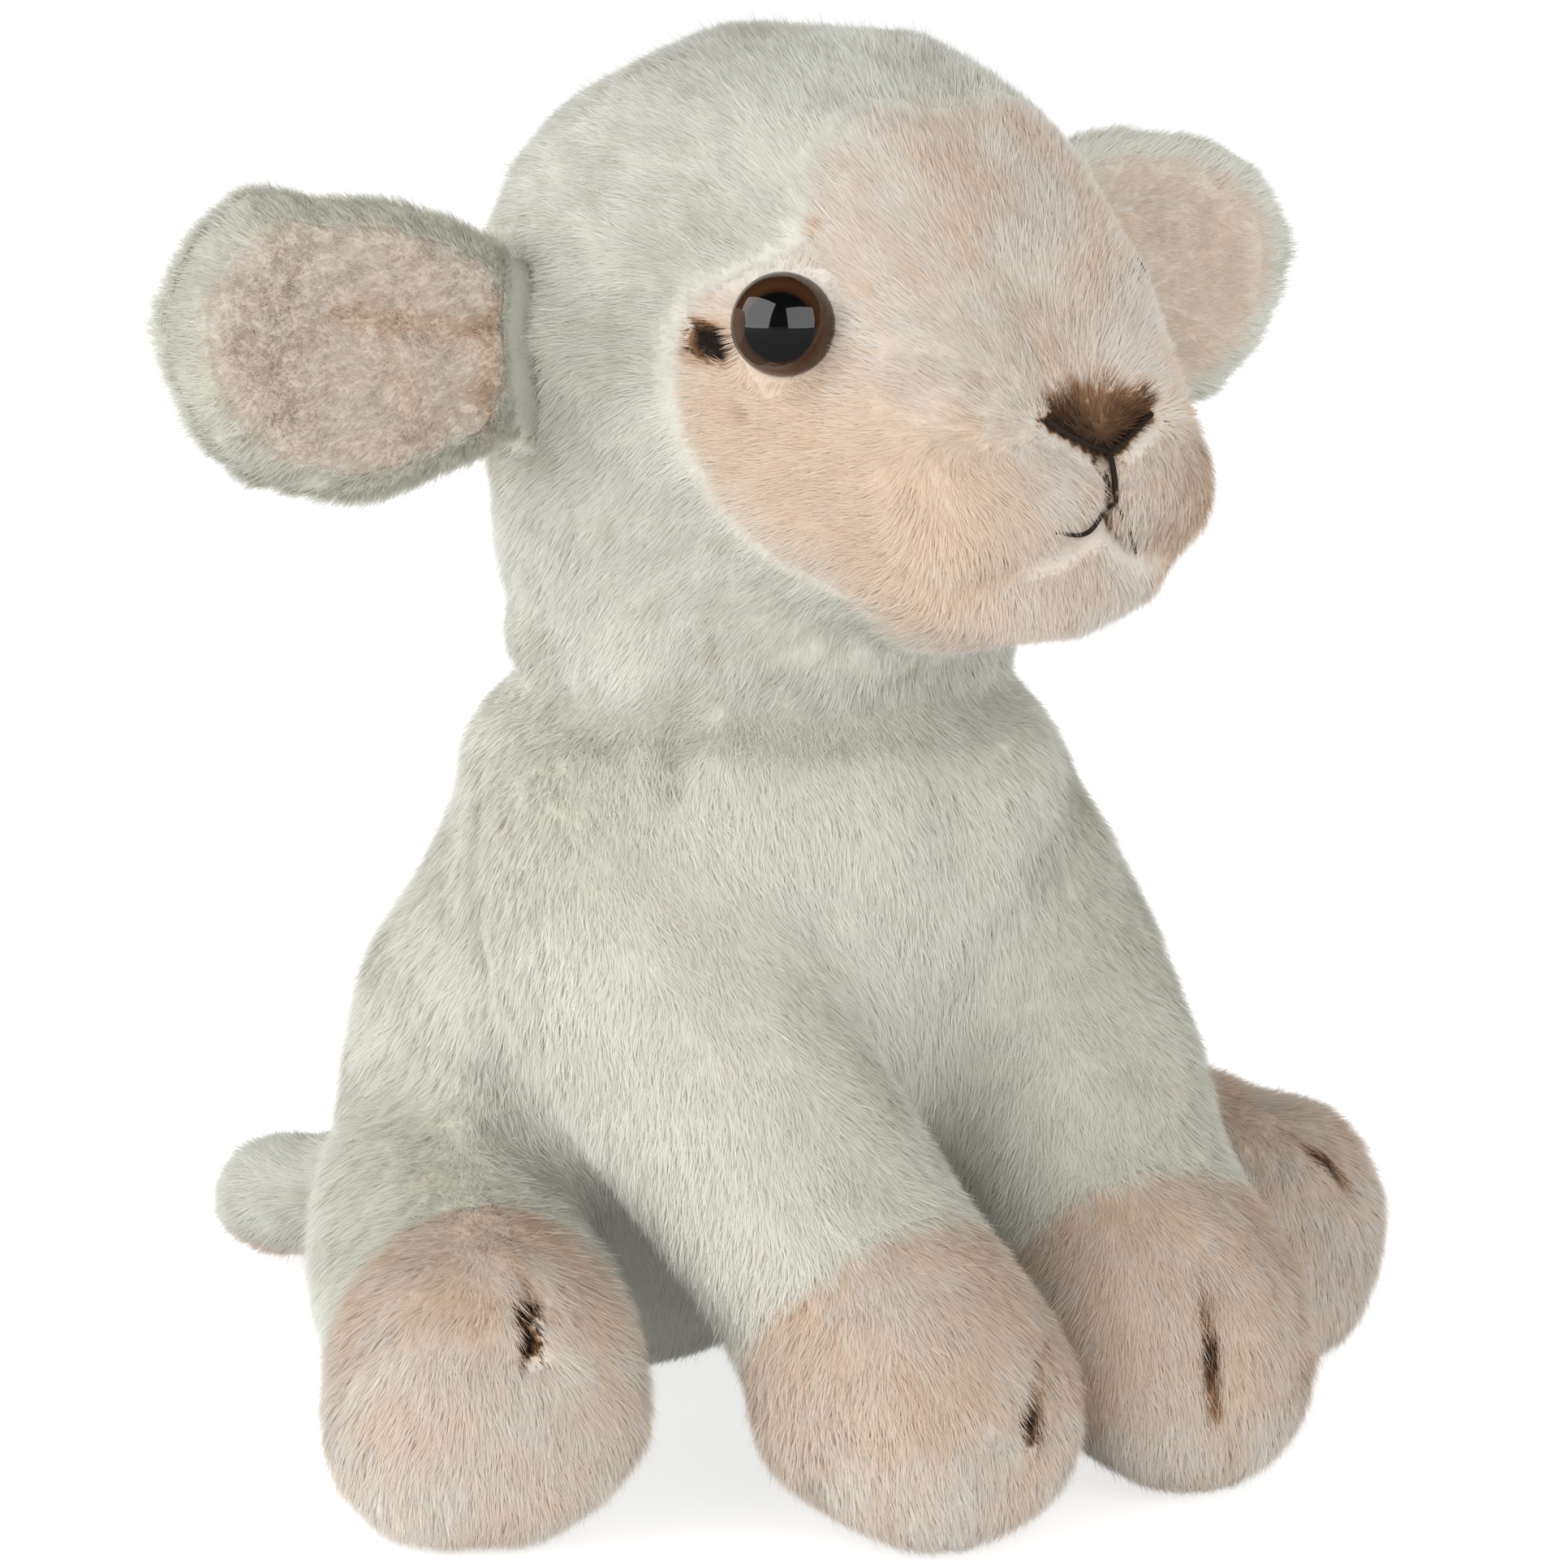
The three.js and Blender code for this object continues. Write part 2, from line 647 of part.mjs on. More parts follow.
// Neck seam: a band between two spheres about the neck's pivot
function neckRing() {
  const profile = [];
  const lowest = THREE.MathUtils.degToRad(36);
  const highest = THREE.MathUtils.degToRad(58);
  const steps = 3;
  for (let step = 0; step <= steps; step += 1) {
    const angle = lowest + ((highest - lowest) * step) / steps;
    profile.push(new THREE.Vector2(neckRingOuter * Math.cos(angle), neckRingOuter * Math.sin(angle)));
  }
  for (let step = steps; step >= 0; step -= 1) {
    const angle = lowest + ((highest - lowest) * step) / steps;
    profile.push(new THREE.Vector2(neckRingInner * Math.cos(angle), neckRingInner * Math.sin(angle)));
  }
  profile.push(profile[0].clone());
  const geometry = new THREE.LatheGeometry(profile, neckSides).rotateX(Math.PI / 2);
  return toSolid(geometry.translate(neckPivot.x, neckPivot.y, neckPivot.z));
}

addPiece('neck_seam_ring', neckRing(), cream);

// Eyes: a glossy dome with a shank through the cover and a washer pressed on behind it
function eyeSeat(side) {
  const turn = THREE.MathUtils.degToRad(eyeTurn);
  const outwards = at(side * Math.sin(turn), -Math.cos(turn), 0);
  const from = eyeAim.clone().addScaledVector(outwards, 3 * headHalfHeight);
  const caster = new THREE.Raycaster(from, outwards.clone().negate());
  const skin = new THREE.Mesh(softForm(headShape()), new THREE.MeshBasicMaterial({ side: THREE.DoubleSide }));
  const surface = caster.intersectObject(skin)[0].point;
  return { outwards, base: surface.addScaledVector(outwards, -eyeSink) };
}

function eyeForm({ base, outwards }) {
  const radius = eyeDiameter / 2;
  const profile = [new THREE.Vector2(0, -eyeShankLength), new THREE.Vector2(eyeShankRadius, -eyeShankLength)];
  profile.push(new THREE.Vector2(eyeShankRadius, 0));
  const steps = 5;
  for (let step = 0; step < steps; step += 1) {
    const angle = (Math.PI / 2) * (step / steps);
    profile.push(new THREE.Vector2(radius * Math.cos(angle), eyeDomeHeight * Math.sin(angle)));
  }
  profile.push(new THREE.Vector2(0, eyeDomeHeight));
  const geometry = new THREE.LatheGeometry(profile, 20);
  geometry.applyQuaternion(new THREE.Quaternion().setFromUnitVectors(yAxis, outwards));
  return toSolid(geometry.translate(base.x, base.y, base.z));
}

const eyeCuts = [];
const washerFrontDepth = wall + seamGap + eyeSink;
for (const [sideName, side] of [['right', -1], ['left', 1]]) {
  const seat = eyeSeat(side);
  addPiece(`eye_${sideName}`, eyeForm(seat), eyeBrown);
  const washerBack = -washerFrontDepth - washerThickness;
  const inner = bar(seat.base, seat.outwards, washerBack, -washerFrontDepth, washerRadius);
  const hole = bar(seat.base, seat.outwards, -2 * eyeShankLength, eyeDomeHeight, eyeShankRadius + seamGap);
  addPiece(`eye_washer_${sideName}`, inner.subtract(hole), washerWhite);
  const recess = bar(seat.base, seat.outwards, -seamGap, 2 * eyeDomeHeight, eyeDiameter / 2 + seamGap, 20);
  const shankRoom = bar(
    seat.base, seat.outwards, -eyeShankLength - seamGap, eyeDomeHeight, eyeShankRadius + seamGap);
  const washerRoom = bar(
    seat.base, seat.outwards, -washerFrontDepth - washerThickness - seamGap, -washerFrontDepth + seamGap,
    washerRadius + seamGap);
  eyeCuts.push(recess, shankRoom, washerRoom);
}

function withEyeCuts(solid) {
  return eyeCuts.reduce((rest, cut) => rest.subtract(cut), solid);
}

// The face panel lies in front of a seam that runs down beside the brow, back round each eye, and
// forwards again under the cheek. Each point is [y, z].
function frontOfFaceSeam(gap) {
  const top = headCentreZ + 1.2 * headHalfHeight;
  const bottom = headCentreZ - 1.6 * headHalfHeight;
  const reach = 1.3 * muzzleTipY;
  const behindEye = facePanelY + 6;
  const brow = facePanelY - 8;
  const outline = new THREE.Shape();
  outline.moveTo(reach, bottom);
  outline.lineTo(facePanelY - 16 + gap, bottom);
  outline.lineTo(facePanelY - 16 + gap, eyeAim.z - 42);
  outline.bezierCurveTo(
    facePanelY - 4 + gap, eyeAim.z - 32, behindEye + gap, eyeAim.z - 22, behindEye + gap, eyeAim.z - 10);
  outline.bezierCurveTo(
    behindEye + gap, eyeAim.z + 2, behindEye - 2 + gap, eyeAim.z + 4, brow - 4 + gap, eyeAim.z + 10);
  outline.bezierCurveTo(
    brow - 7 + gap, eyeAim.z + 12, brow - 4 + gap, eyeAim.z + 20, brow + gap, eyeAim.z + 26);
  outline.lineTo(brow + 3 + gap, top);
  outline.lineTo(reach, top);
  outline.closePath();
  const depth = 3 * headHalfWidth;
  const geometry = new THREE.ExtrudeGeometry(outline, { depth, bevelEnabled: false, curveSegments: 5 });
  geometry.translate(0, 0, -depth / 2);
  const turn = new THREE.Matrix4().makeBasis(yAxis, zAxis, xAxis);
  return toSolid(geometry.applyMatrix4(turn));
}

// Head pieces, with a groove for each ear's root
function withEarGrooves(solid) {
  return solid.subtract(earRoot(-1, turnGap)).subtract(earRoot(1, turnGap));
}

const headShell = withEarGrooves(withEyeCuts(headForm().subtract(headHollow(0))));
addPiece('face_panel', headShell.intersect(frontOfFaceSeam(0)), pink);
addPiece('head_hood', headShell.subtract(frontOfFaceSeam(seamGap)), cream);
addPiece('head_stuffing', withEarGrooves(withEyeCuts(headHollow(seamGap))), fibre);

// Ears: a cream back whose front is hollowed, and a pink lining in the hollow
for (const [sideName, side] of [['right', -1], ['left', 1]]) {
  const hollowHalfThickness = 0.9 * earHalfThickness;
  const inFront = 0.8 * earHalfThickness;
  const hollow = earLeaf(side, earLiningShare, hollowHalfThickness, inFront);
  addPiece(`ear_${sideName}_back`, earForm(side).subtract(hollow), cream);
  const filled = earLeaf(side, earLiningShare, hollowHalfThickness, inFront, -seamGap);
  const scoop = earLeaf(side, earLiningShare, hollowHalfThickness, inFront + earLiningThickness);
  addPiece(`ear_${sideName}_lining`, clearedOfHead(side, filled.subtract(scoop)), pink);
}

const extent = new THREE.Box3().setFromObject(lamb);
lamb.position.set(-(extent.min.x + extent.max.x) / 2, -(extent.min.y + extent.max.y) / 2, 0);

export default lamb;
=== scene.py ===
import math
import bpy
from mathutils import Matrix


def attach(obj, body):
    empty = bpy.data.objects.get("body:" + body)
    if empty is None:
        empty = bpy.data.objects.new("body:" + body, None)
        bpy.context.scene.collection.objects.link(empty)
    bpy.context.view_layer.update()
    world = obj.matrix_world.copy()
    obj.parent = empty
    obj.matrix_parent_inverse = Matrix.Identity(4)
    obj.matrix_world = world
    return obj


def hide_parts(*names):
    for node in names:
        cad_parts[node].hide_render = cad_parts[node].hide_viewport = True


bl_info = {
    "name": "Plush lamb",
    "version": (1, 0, 0),
    "blender": (4, 5, 0),
    "location": "View3D > Sidebar > Lamb",
    "description": "Covers the packed model of a seated plush lamb with cloth, pile, eyes and stitching",
    "category": "Object",
}

import zlib

import bmesh
import bpy
import numpy as np
from bpy.props import FloatProperty, FloatVectorProperty, IntProperty, PointerProperty
from mathutils import Matrix, Vector
from mathutils.bvhtree import BVHTree

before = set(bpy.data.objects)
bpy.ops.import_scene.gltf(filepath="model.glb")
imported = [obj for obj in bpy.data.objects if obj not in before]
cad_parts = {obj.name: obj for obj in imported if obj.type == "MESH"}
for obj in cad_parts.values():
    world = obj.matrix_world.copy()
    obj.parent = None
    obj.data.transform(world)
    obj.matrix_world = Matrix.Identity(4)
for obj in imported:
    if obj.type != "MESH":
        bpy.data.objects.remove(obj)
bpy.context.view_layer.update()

MM = 0.001

# Tones along the plush colour ramps, from the painted shade of folds through shaded, plain and lit cream and
# pink to the sprayed browns
FOLD_SHADE = 0.02
SHADED_CREAM = 0.08
CREAM = 0.16
LIT_CREAM = 0.32
PALE_PINK = 0.40
PINK = 0.48
PEACH = 0.58
TAN = 0.68
BROWN = 0.82
DARK = 0.95

# The tones that plush keeps to before the marks and the painted fold shade go over it, the limit between
# cream and pink panels, how much paler a sole is than its foot, and the tone of a pink panel's rim
CREAM_TONES = 0.06, 0.31
PINK_TONES = 0.38, 0.60
CREAM_LIMIT = 0.33
SOLE_PALER = 0.075
PALE_RIM = 0.365

# The cloth's thickness and its least height over the table
CLOTH_THICKNESS = 0.8 * MM
CLOTH_LIFT = 0.3 * MM
# How deep the pile is rooted in the cloth, its least height over the table, its shortest strand, the
# share of stray strands, and how close a neighbour covers the cloth, so that no pile grows there
ROOT_DEPTH = 0.4 * MM
PILE_LIFT = 0.25 * MM
SHORTEST = 0.3 * MM
STRAY_SHARE = 0.02
COVERED = 2.5 * MM

# The moulded eyes: bearing, radius and height of the dome, height down to which the CAD's eye is
# measured, radius and depth of the shank
EYE_BEARING = math.radians(47)
EYE_RADIUS = 7.5 * MM
EYE_HEIGHT = 5.5 * MM
EYE_RIM_HEIGHT = 5.6 * MM
SHANK_RADIUS = 2.5 * MM
SHANK_DEPTH = 5 * MM
# Distances from an eye's axis: where the pile begins, where it stops being combed away from the eye,
# where the cloth stops being pressed back, each fully and at all, and the reach of all of it
EYE_BARE = 7.1 * MM
EYE_COMBED = 8 * MM, 11.5 * MM
EYE_PRESSED = 8.4 * MM, 14 * MM
EYE_REACH = 20 * MM


def rgb(red, green, blue):
    """A colour picked on a screen, 0 to 255, as the linear colour that a material takes."""
    def channel(value):
        value /= 255
        return value / 12.92 if value <= 0.04045 else ((value + 0.055) / 1.055) ** 2.4
    return channel(red), channel(green), channel(blue)


def length_prop(name, description, default, **limits):
    return FloatProperty(
        name=name, description=description, default=default, unit="LENGTH", precision=5, **limits)


def colour_prop(name, description, default):
    return FloatVectorProperty(
        name=name, description=description, default=default, subtype="COLOR", size=3, min=0, max=1)


class LAMB_PG_pile(bpy.types.PropertyGroup):
    """Sizes of the pile, the short fur of the plush"""
    density: FloatProperty(
        name="Density", description="Strands on each square millimetre of cloth",
        default=10.5, min=0.1, max=20)
    body_length: length_prop("Body length", "Length of the cream pile on body and legs", 5.6 * MM)
    face_length: length_prop("Face length", "Length of the pile on the face panel", 4.6 * MM)
    foot_length: length_prop("Foot length", "Length of the pink pile on the feet", 5.5 * MM)
    ear_length: length_prop("Ear length", "Length of the pile on the ears' backs", 4.6 * MM)
    lining_length: length_prop("Lining length", "Length of the pile on the ear linings", 3.2 * MM)
    width: length_prop("Strand width", "Width of a strand at its root", 0.2 * MM)
    lean: FloatProperty(
        name="Lean", description="Angle of a strand to the cloth", default=math.radians(18), subtype="ANGLE")
    under_share: FloatProperty(
        name="Underfur", description="Share of the strands that are short and stand steeper",
        default=0.35, min=0, max=1)
    clump_size: length_prop("Clump size", "Distance between the tufts that strands gather in", 2.6 * MM)
    clump_pull: FloatProperty(
        name="Clump pull", description="How far the tips are drawn into their tuft",
        default=0.2, min=0, max=1)
    seed: IntProperty(name="Seed", description="Start of the random draws", default=7)


class LAMB_PG_colours(bpy.types.PropertyGroup):
    """Colours of plush, eyes and thread"""
    cream_tip: colour_prop("Cream tips", "Tips of the cream pile", rgb(244, 244, 236))
    cream_root: colour_prop("Cream roots", "Roots of the cream pile", rgb(238, 236, 224))
    # The fold colour is painted shade: the cream pile darkened in the crease between hind leg and flank
    fold_shade: colour_prop("Folds", "Cream pile that is stained in the folds", rgb(214, 208, 182))
    pale_pink: colour_prop("Pale pink", "Pink pile where it is lightest", rgb(244, 235, 225))
    pink: colour_prop("Pink", "Pink pile of the face", rgb(246, 230, 212))
    peach: colour_prop("Peach", "Pink pile where it is strongest", rgb(245, 222, 200))
    tan: colour_prop("Tan", "Edge of the sprayed marks", rgb(190, 146, 108))
    brown: colour_prop("Brown", "Nose and middle of the sprayed marks", rgb(122, 86, 58))
    dark: colour_prop("Dark brown", "Eye corners and toe clefts", rgb(40, 26, 18))
    iris: colour_prop("Iris", "Brown ring of the eyes", rgb(74, 46, 27))
    thread: colour_prop("Thread", "Stitching of nose and mouth", rgb(46, 31, 23))


class LAMB_PG_stage(bpy.types.PropertyGroup):
    """Floor, light and view"""
    floor_radius: length_prop("Floor radius", "Radius of the round floor", 3.0)
    floor: colour_prop("Floor", "Colour of the floor", (0.88, 0.88, 0.88))
    world_level: FloatProperty(name="Fill", description="Light from all sides", default=0.85, min=0)
    mirrored_level: FloatProperty(
        name="Mirrored fill", description="Share of the fill that shines in glossy surfaces",
        default=0.06, min=0)
    overhead_share: FloatProperty(
        name="Overhead fill", description="Share of the fill that comes from straight above",
        default=0.26, min=0)
    left_power: FloatProperty(
        name="Left lamp", description="Power of the lamp on the left", default=10.0, unit="POWER")
    right_power: FloatProperty(
        name="Right lamp", description="Power of the lamp on the right of the camera",
        default=4.3, unit="POWER")
    lens: FloatProperty(name="Lens", description="Focal length of the camera in mm", default=146.1)


# Sums over many points at once

def unit(vectors):
    lengths = np.linalg.norm(vectors, axis=-1, keepdims=True)
    return vectors / np.maximum(lengths, 1e-9)


def dot(a, b):
    return np.sum(a * b, axis=-1, keepdims=True)


def along_skin(directions, normals):
    """The part of each direction that lies in the skin, at unit length."""
    return unit(directions - normals * dot(directions, normals))


def ease(value, low, high):
    """0 below low, 1 above high, smooth between; low may be the larger."""
    share = np.clip((value - low) / (high - low), 0, 1)
    return share * share * (3 - 2 * share)


def waves(points, wavelength, seed, count=7):
    """A smooth random value at each point, mostly within -1 to 1."""
    draws = np.random.RandomState(seed)
    directions = unit(draws.normal(size=(count, 3))) * (2 * np.pi / wavelength)
    directions *= draws.uniform(0.7, 1.4, size=(count, 1))
    phases = draws.uniform(0, 2 * np.pi, size=count)
    return np.sin(points @ directions.T + phases).sum(axis=1) / math.sqrt(count)


def path_distance(points, path, reach):
    """Distance of each point from a path of straight stretches, or more than the reach where it is beyond."""
    path = np.asarray(path, float)
    nearest = np.full(len(points), 2.0 * reach)
    inside = np.all((points > path.min(axis=0) - reach) & (points < path.max(axis=0) + reach), axis=1)
    close = points[inside]
    for start, end in zip(path[:max(1, len(path) - 1)], path[-max(1, len(path) - 1):]):
        step = end - start
        share = np.clip(((close - start) @ step) / max(step @ step, 1e-12), 0, 1)
        gap = np.linalg.norm(close - start - share[:, None] * step, axis=1)
        nearest[inside] = np.minimum(nearest[inside], gap)
    return nearest


def mirrored(path):
    return [(-x, y, z) for x, y, z in path]


def seed_of(name):
    return (zlib.crc32(name.encode()) + bpy.context.scene.lamb_pile.seed) % (2 ** 31)


# Meshes

def mesh_object(name, mesh):
    obj = bpy.data.objects.new(name, mesh)
    bpy.context.scene.collection.objects.link(obj)
    return obj


def object_from(bm, name):
    mesh = bpy.data.meshes.new(name)
    bm.to_mesh(mesh)
    bm.free()
    return mesh_object(name, mesh)


def apply_modifiers(obj):
    bpy.context.view_layer.update()
    shaped = obj.evaluated_get(bpy.context.evaluated_depsgraph_get())
    mesh = bpy.data.meshes.new_from_object(shaped)
    old = obj.data
    obj.modifiers.clear()
    obj.data = mesh
    mesh.name = obj.name
    bpy.data.meshes.remove(old)


def coordinates(mesh):
    values = np.empty(len(mesh.vertices) * 3, np.float32)
    mesh.vertices.foreach_get("co", values)
    return values.reshape(-1, 3).astype(float)


def set_coordinates(mesh, points):
    mesh.vertices.foreach_set("co", np.asarray(points, np.float32).ravel())
    mesh.update()


def vertex_normals(mesh):
    values = np.empty(len(mesh.vertices) * 3, np.float32)
    mesh.vertex_normals.foreach_get("vector", values)
    return values.reshape(-1, 3).astype(float)


def triangles(mesh):
    mesh.calc_loop_triangles()
    corners = np.empty(len(mesh.loop_triangles) * 3, np.int32)
    mesh.loop_triangles.foreach_get("vertices", corners)
    return corners.reshape(-1, 3)


def cad_bmesh(nodes):
    """Copies of CAD nodes in one bmesh, their loose triangles merged."""
    bm = bmesh.new()
    for node in nodes:
        bm.from_mesh(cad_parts[node].data)
    bmesh.ops.remove_doubles(bm, verts=bm.verts, dist=1e-6)
    return bm


def cad_tree(nodes):
    bm = cad_bmesh(nodes)
    tree = BVHTree.FromBMesh(bm)
    bm.free()
    return tree


def keep_largest_part(bm):
    """Takes away everything but the connected part with the most vertices."""
    unseen = set(bm.verts)
    largest = set()
    while unseen:
        part = {unseen.pop()}
        front = list(part)
        while front:
            vert = front.pop()
            for edge in vert.link_edges:
                other = edge.other_vert(vert)
                if other in unseen:
                    unseen.discard(other)
                    part.add(other)
                    front.append(other)
        if len(part) > len(largest):
            largest = part
    spare = [vert for vert in bm.verts if vert not in largest]
    bmesh.ops.delete(bm, geom=spare, context="VERTS")


def stuffed_form(name, nodes, voxel, smoothing, inset):
    """The skin of a stuffed part: its cover and stuffing grown together, smoothed and drawn in by the
    thickness of the pile."""
    obj = object_from(cad_bmesh(nodes), name)
    remesh = obj.modifiers.new("Voxels", "REMESH")
    remesh.mode = "VOXEL"
    remesh.voxel_size = voxel
    apply_modifiers(obj)
    bm = bmesh.new()
    bm.from_mesh(obj.data)
    keep_largest_part(bm)
    for _ in range(smoothing):
        bmesh.ops.smooth_vert(
            bm, verts=bm.verts, factor=0.5, use_axis_x=True, use_axis_y=True, use_axis_z=True)
    bm.to_mesh(obj.data)
    bm.free()
    mesh = obj.data
    set_coordinates(mesh, coordinates(mesh) - inset * vertex_normals(mesh))
    return obj


# The lamb's bodies as the CAD names them, each with its panels and their tones. The cream panels are one
# cloth: their tones differ as painted light and shade, lightest on body and sleeves, darkest on hood and tail
PARTS = {
    "body": {"body_cover": 0.30},
    "neck": {"neck_seam_ring": 0.20},
    "head": {"head_hood": 0.12, "face_panel": 0.41},
    "tail": {"tail_top": 0.11, "tail_underside": PINK},
}
FILLINGS = {
    "body": ["body_stuffing", "pellet_bag"],
    "neck": [],
    "head": ["head_stuffing", "eye_washer_right", "eye_washer_left"],
    "tail": ["tail_stuffing"],
}
# The far, left lining is written darker than the right one: painted shade
LINING_TONES_AND_SHADE = {"right": 0.55, "left": 0.67}
for side, lining in LINING_TONES_AND_SHADE.items():
    PARTS[f"ear_{side}"] = {f"ear_{side}_back": 0.22, f"ear_{side}_lining": lining}
    FILLINGS[f"ear_{side}"] = []
    for pair in ("front", "hind"):
        leg = f"{pair}_{side}"
        PARTS[f"{pair}_leg_{side}"] = {
            f"{leg}_sleeve": 0.30, f"{leg}_foot": 0.47, f"{leg}_sole": 0.49}
        FILLINGS[f"{pair}_leg_{side}"] = [f"{leg}_stuffing"]

# Bodies that lie close to each other, whose pile would grow into one another
NEIGHBOURS = {
    "body": ["front_leg_right", "front_leg_left", "hind_leg_right", "hind_leg_left", "tail", "neck"],
    "neck": ["body", "head"],
    "head": ["neck", "ear_right", "ear_left", "body"],
    "tail": ["body"],
    "ear_right": ["head"],
    "ear_left": ["head"],
    "front_leg_right": ["body", "front_leg_left"],
    "front_leg_left": ["body", "front_leg_right", "hind_leg_left"],
    "hind_leg_right": ["body"],
    "hind_leg_left": ["body", "front_leg_left"],
}


def millimetres(*points):
    """A path given in millimetres, in metres."""
    return [tuple(value * MM for value in point) for point in points]


# Lines and marks on the cloth, in the model's frame
FACE_SEAM = millimetres(
    (0, -66, 206), (-11, -59.5, 203), (-23, -61, 196), (-27.5, -64.5, 190), (-30, -66.5, 184),
    (-34, -60.5, 180), (-38, -49.5, 175.5), (-38.5, -46.5, 169.5), (-38.5, -46.5, 160),
    (-37, -48.5, 153), (-34, -51.5, 147), (-31, -56.5, 142), (-23, -67.5, 132))
EYE_CORNER = millimetres((-38.5, -50.5, 170), (-36, -54.5, 169.3))
EYE_INNER = millimetres((-22.6, -74, 176), (-22.9, -73, 174.8))
EYE_UPPER = millimetres((-27, -66, 185.4), (-26, -66.5, 185.7))
NOSE_V = millimetres((-8.2, -94, 160.4), (1, -97.1, 154.7), (10.7, -94.2, 159.4))
PHILTRUM = millimetres((1, -97.1, 154.7), (0, -98.5, 147.4))
MOUTH_RIGHT = millimetres((0, -98.5, 147.4), (-4.4, -98.3, 144.9), (-8.5, -97.7, 142.3))
MOUTH_LEFT = millimetres((0, -98.5, 147.4), (3.4, -98.4, 143.6), (7, -97.7, 141.2))
MOUTH_FADE = millimetres((-8.5, -97.7, 142.3), (-12, -97, 141.4))
MOUTH_DOTS = [millimetres((-15.5, -96, 140.6)), millimetres((-19.5, -93.1, 139.4)),
              millimetres((11.5, -96.6, 140.2)), millimetres((16.5, -94.6, 139.4))]
CHEEK = millimetres((-34, -62, 160), (-30, -76, 150), (-24, -84, 143))

EAR_CREASE = millimetres(
    (-85.2, -20.7, 175.5), (-75.9, -18.9, 173.7), (-68.1, -17.5, 172), (-57.2, -15.8, 170.2),
    (-47.2, -15.2, 169))
EAR_BASE = millimetres(
    (-45.4, -15.6, 171.5), (-46, -15.1, 165.9), (-47.2, -15.8, 159.3), (-46.8, -14.4, 153.5))
# Sprayed marks on the feet: path, half width and fade beyond it in millimetres, tone, strength
FOOT_MARKS = {
    "hind_leg_right": [
        (millimetres((-76, -57, 45), (-77.3, -62.1, 42)), 0.2, 1.2, TAN, 0.5),
        (millimetres((-77.8, -62.8, 41.2), (-80.6, -66.5, 35.5)), 0.4, 1.4, 0.75, 0.9),
        (millimetres((-79.2, -64.5, 39.0), (-80.0, -65.5, 37.4)), 1.5, 1.0, 0.99, 1.0),
        (millimetres((-80.8, -67.1, 34.6), (-81.1, -67.8, 33.2)), 1.4, 1.0, 0.99, 1.0)],
    "front_leg_right": [
        (millimetres((-22.5, -109.2, 31.1), (-25.5, -112.5, 24.6)), 0.5, 2.0, 0.74, 0.85),
        (millimetres((-25.5, -112.5, 24.6), (-26.0, -113.1, 20.5)), 1.5, 1.2, 0.985, 1.0)],
    "front_leg_left": [
        (millimetres((13.0, -106.9, 35.0), (11.0, -109.4, 30.0)), 0.4, 1.6, 0.74, 0.7),
        (millimetres((11.0, -109.4, 29.0), (10, -111.6, 24.0)), 0.6, 1.2, 0.95, 0.9),
        (millimetres((10, -111.6, 23.7), (10.6, -111.4, 16.5)), 0.4, 1.5, 0.76, 0.8)],
    "hind_leg_left": [
        (millimetres((74.2, -64.7, 39.6), (79.4, -68.1, 33.4)), 0.6, 1.8, 0.76, 0.8),
        (millimetres((75.5, -66.2, 37.8), (76.6, -67.0, 36.4)), 0.8, 1.3, 0.98, 1.0)],
}
FOOT_SEAMS = {
    "hind_leg_right": millimetres(
        (-95.6, -44, 26), (-95.1, -49.8, 33), (-90, -59.1, 36.2), (-80.5, -66.8, 35.5), (-70.4, -68.9, 33.8),
        (-61, -65, 31), (-57, -58, 24)),
    "front_leg_right": millimetres(
        (-53, -92, 15), (-50, -101.5, 19.6), (-44.6, -108.3, 21.6), (-34, -112.4, 23.9), (-21.8, -111.7, 25),
        (-10, -106, 22)),
    "front_leg_left": millimetres(
        (-5, -92, 14), (-2.3, -98.6, 16.8), (1.2, -106.2, 17.8), (8.9, -110.9, 18.1), (17.3, -113.3, 19.4),
        (30, -112, 20)),
    "hind_leg_left": millimetres(
        (57, -58, 26), (63.7, -67.1, 33.2), (68.9, -68.5, 33.9), (79.4, -68.1, 33.4), (90, -60, 31)),
}
# The soles' paler plush lies beyond a plane: a point of it, in metres, and its direction
SOLES = {
    "hind_leg_right": ((-0.0805, -0.0668, 0.0355), (-0.15, -0.30, -1.0)),
    "hind_leg_left": ((0.0794, -0.0681, 0.0334), (0.15, -0.30, -1.0)),
    "front_leg_right": ((-0.034, -0.1124, 0.0239), (0.0, -0.40, -1.0)),
    "front_leg_left": ((0.0089, -0.1109, 0.0185), (0.0, -0.30, -1.0)),
}
FLANK_FOLD = millimetres((-50.7, -18.6, 62), (-50.3, -21.7, 52), (-52, -30, 47), (-49.9, -35.8, 43))
SIDE_SEAM = millimetres((-43.1, -8.5, 104.5), (-47.7, -13.5, 90.7), (-49.7, -17.6, 80), (-50.1, -19.8, 71.2))
NECK_FOLD = millimetres(
    (-32.8, -41.8, 120.2), (-32.2, -40.3, 114.3), (-35.5, -43.4, 109.4), (-38.1, -45.8, 105.5))
NAPE_SIDE = millimetres((-34, -5, 116), (-32, 3, 111))


# How the pile lies

DOWN = np.array((0, 0, -1.0))
MUZZLE_TIP = np.array((0.001, -0.096, 0.156))


def comb_body(points):
    out = np.stack([points[:, 0], points[:, 1], np.zeros(len(points))], axis=1) / 0.05
    return 0.25 * out + DOWN


